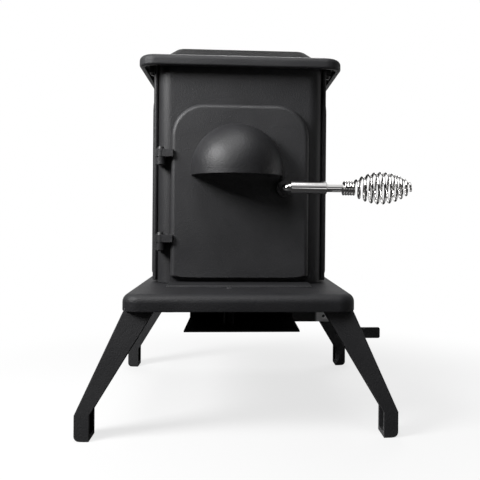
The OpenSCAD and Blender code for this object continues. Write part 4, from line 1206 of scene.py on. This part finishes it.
def rope_outline():
    """Points round the arch at even steps, each with its outward direction, in X and Z."""
    corners = [(ROPE_HALF, ROPE_HIGH, ROPE_R_HIGH, 0), (-ROPE_HALF, ROPE_HIGH, ROPE_R_HIGH, 90),
               (-ROPE_HALF, ROPE_LOW, ROPE_R_LOW, 180), (ROPE_HALF, ROPE_LOW, ROPE_R_LOW, 270)]
    path = []
    for x, z, radius, start in corners:
        cx, cz = x - math.copysign(radius, x), z - math.copysign(radius, z - 270)
        count = max(3, round(radius * math.pi / 2 / ROPE_STEP))
        path += [(cx, cz, radius, math.radians(start + 90 * i / count)) for i in range(count + 1)]
    line = []
    for arc, following in zip(path, path[1:] + path[:1]):
        here, there = on_arc(*arc), on_arc(*following)
        angle, next_angle = arc[3], following[3] % math.tau
        pieces = max(1, round((there - here).length / ROPE_STEP))
        for i in range(pieces):
            turn = angle + (next_angle - angle) * i / pieces if pieces < 4 else angle
            line.append((here.lerp(there, i / pieces), Vector((math.cos(turn), math.sin(turn)))))
    return line


print("rope:", len(rope_outline()), "points round the door")


# %% Strands
LAY = 14.0                  # length of one turn
STRAND_R, WIND_R = 2.15, 1.85


def rope_strand(phase):
    """One strand as a closed wire, its turns matched to the rope's whole length."""
    line = rope_outline()
    length = sum((a[0] - b[0]).length for a, b in zip(line, line[1:] + line[:1]))
    turns_round = round(length / LAY)
    points = []
    travelled = 0.0
    for i, (at, out) in enumerate(line):
        angle = math.tau * (turns_round * travelled / length + phase)
        offset = WIND_R * math.cos(angle)
        points.append(place(at.x + out.x * offset, rope_y + WIND_R * math.sin(angle), at.y + out.y * offset))
        travelled += (line[(i + 1) % len(line)][0] - at).length
    return wire("rope_strand", points, STRAND_R, 2, closed=True)


# %% Door rope
ROPE_WOUND = 8  # depth of the three strands before they are pressed
rope = own(gather(*[rope_strand(phase / 3) for phase in range(3)]), "door_rope")
edit(rope)
select_all()
resize(1, (rope_high.y - rope_low.y) / ROPE_WOUND, 1, about=(0, rope_y, 0))
done()
smooth(rope, 60)
stand_for(rope, "door_gasket", inner_iron, "door")

# %% [markdown]
# ## Smaller castings and sheet parts
#
# The remaining parts have the right shape already, but their edges are as sharp as drawn. A copy of each CAD mesh is
# merged, its flat faces are joined again, and every sharp edge is rounded, more on a casting and less on a sheet.
# They could be modelled again like the large ones, but at their size only the edges would differ.

# %% Softened copies
def softened_copy(node_name, width):
    """A copy of a CAD node with merged points, whole flat faces and rounded edges. A side plate's front edge is
    rounded over its whole thickness."""
    deselect_all()
    piece = nodes[node_name].copy()
    piece.data = nodes[node_name].data.copy()
    piece.parent = None
    for key in [k for k in piece.keys() if k.startswith("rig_")]:
        del piece[key]
    bpy.context.scene.collection.objects.link(piece)
    own(piece, f"{node_name}_soft")
    edit(piece)
    select_all()
    bpy.ops.mesh.remove_doubles(threshold=0.00001)
    bpy.ops.mesh.customdata_custom_splitnormals_clear()
    bpy.ops.mesh.dissolve_limited(angle_limit=math.radians(0.5), delimit={"NORMAL"})
    if "side_plate" in node_name:
        pick_edges(piece, lambda a, b: abs(a.z - b.z) > 50 and max(a.y, b.y) < FRONT + 14.5)
        bevel(2.9, 5)
    done()
    soften(piece, width, angle=32)
    return piece


soft_parts = [
    ("left_side_plate", 0.8, "stove", "cast_iron_black"),
    ("right_side_plate", 0.8, "stove", "cast_iron_black"),
    ("rear_plate", 0.8, "stove", "cast_iron_black"),
    ("flue_collar", 0.9, "stove", "cast_iron_black"),
    ("fire_grate", 0.7, "stove", "grate_iron"),
    ("ember_shield", 0.25, "stove", "sheet_black"),
    ("shield_spacer", 0.3, "stove", "sheet_black"),
    ("slide_guides", 0.3, "stove", "sheet_black"),
    ("air_slide", 0.3, "slide", "sheet_black"),
    ("pull_bar", 0.3, "slide", "bare_steel"),
    ("latch_cam", 0.5, "latch", "bolt_black"),
    ("cam_nut", 0.4, "latch", "zinc_screw"),
]
for part, width, body, slot in soft_parts:
    stand_for(softened_copy(part, width), part, looks[part], body)
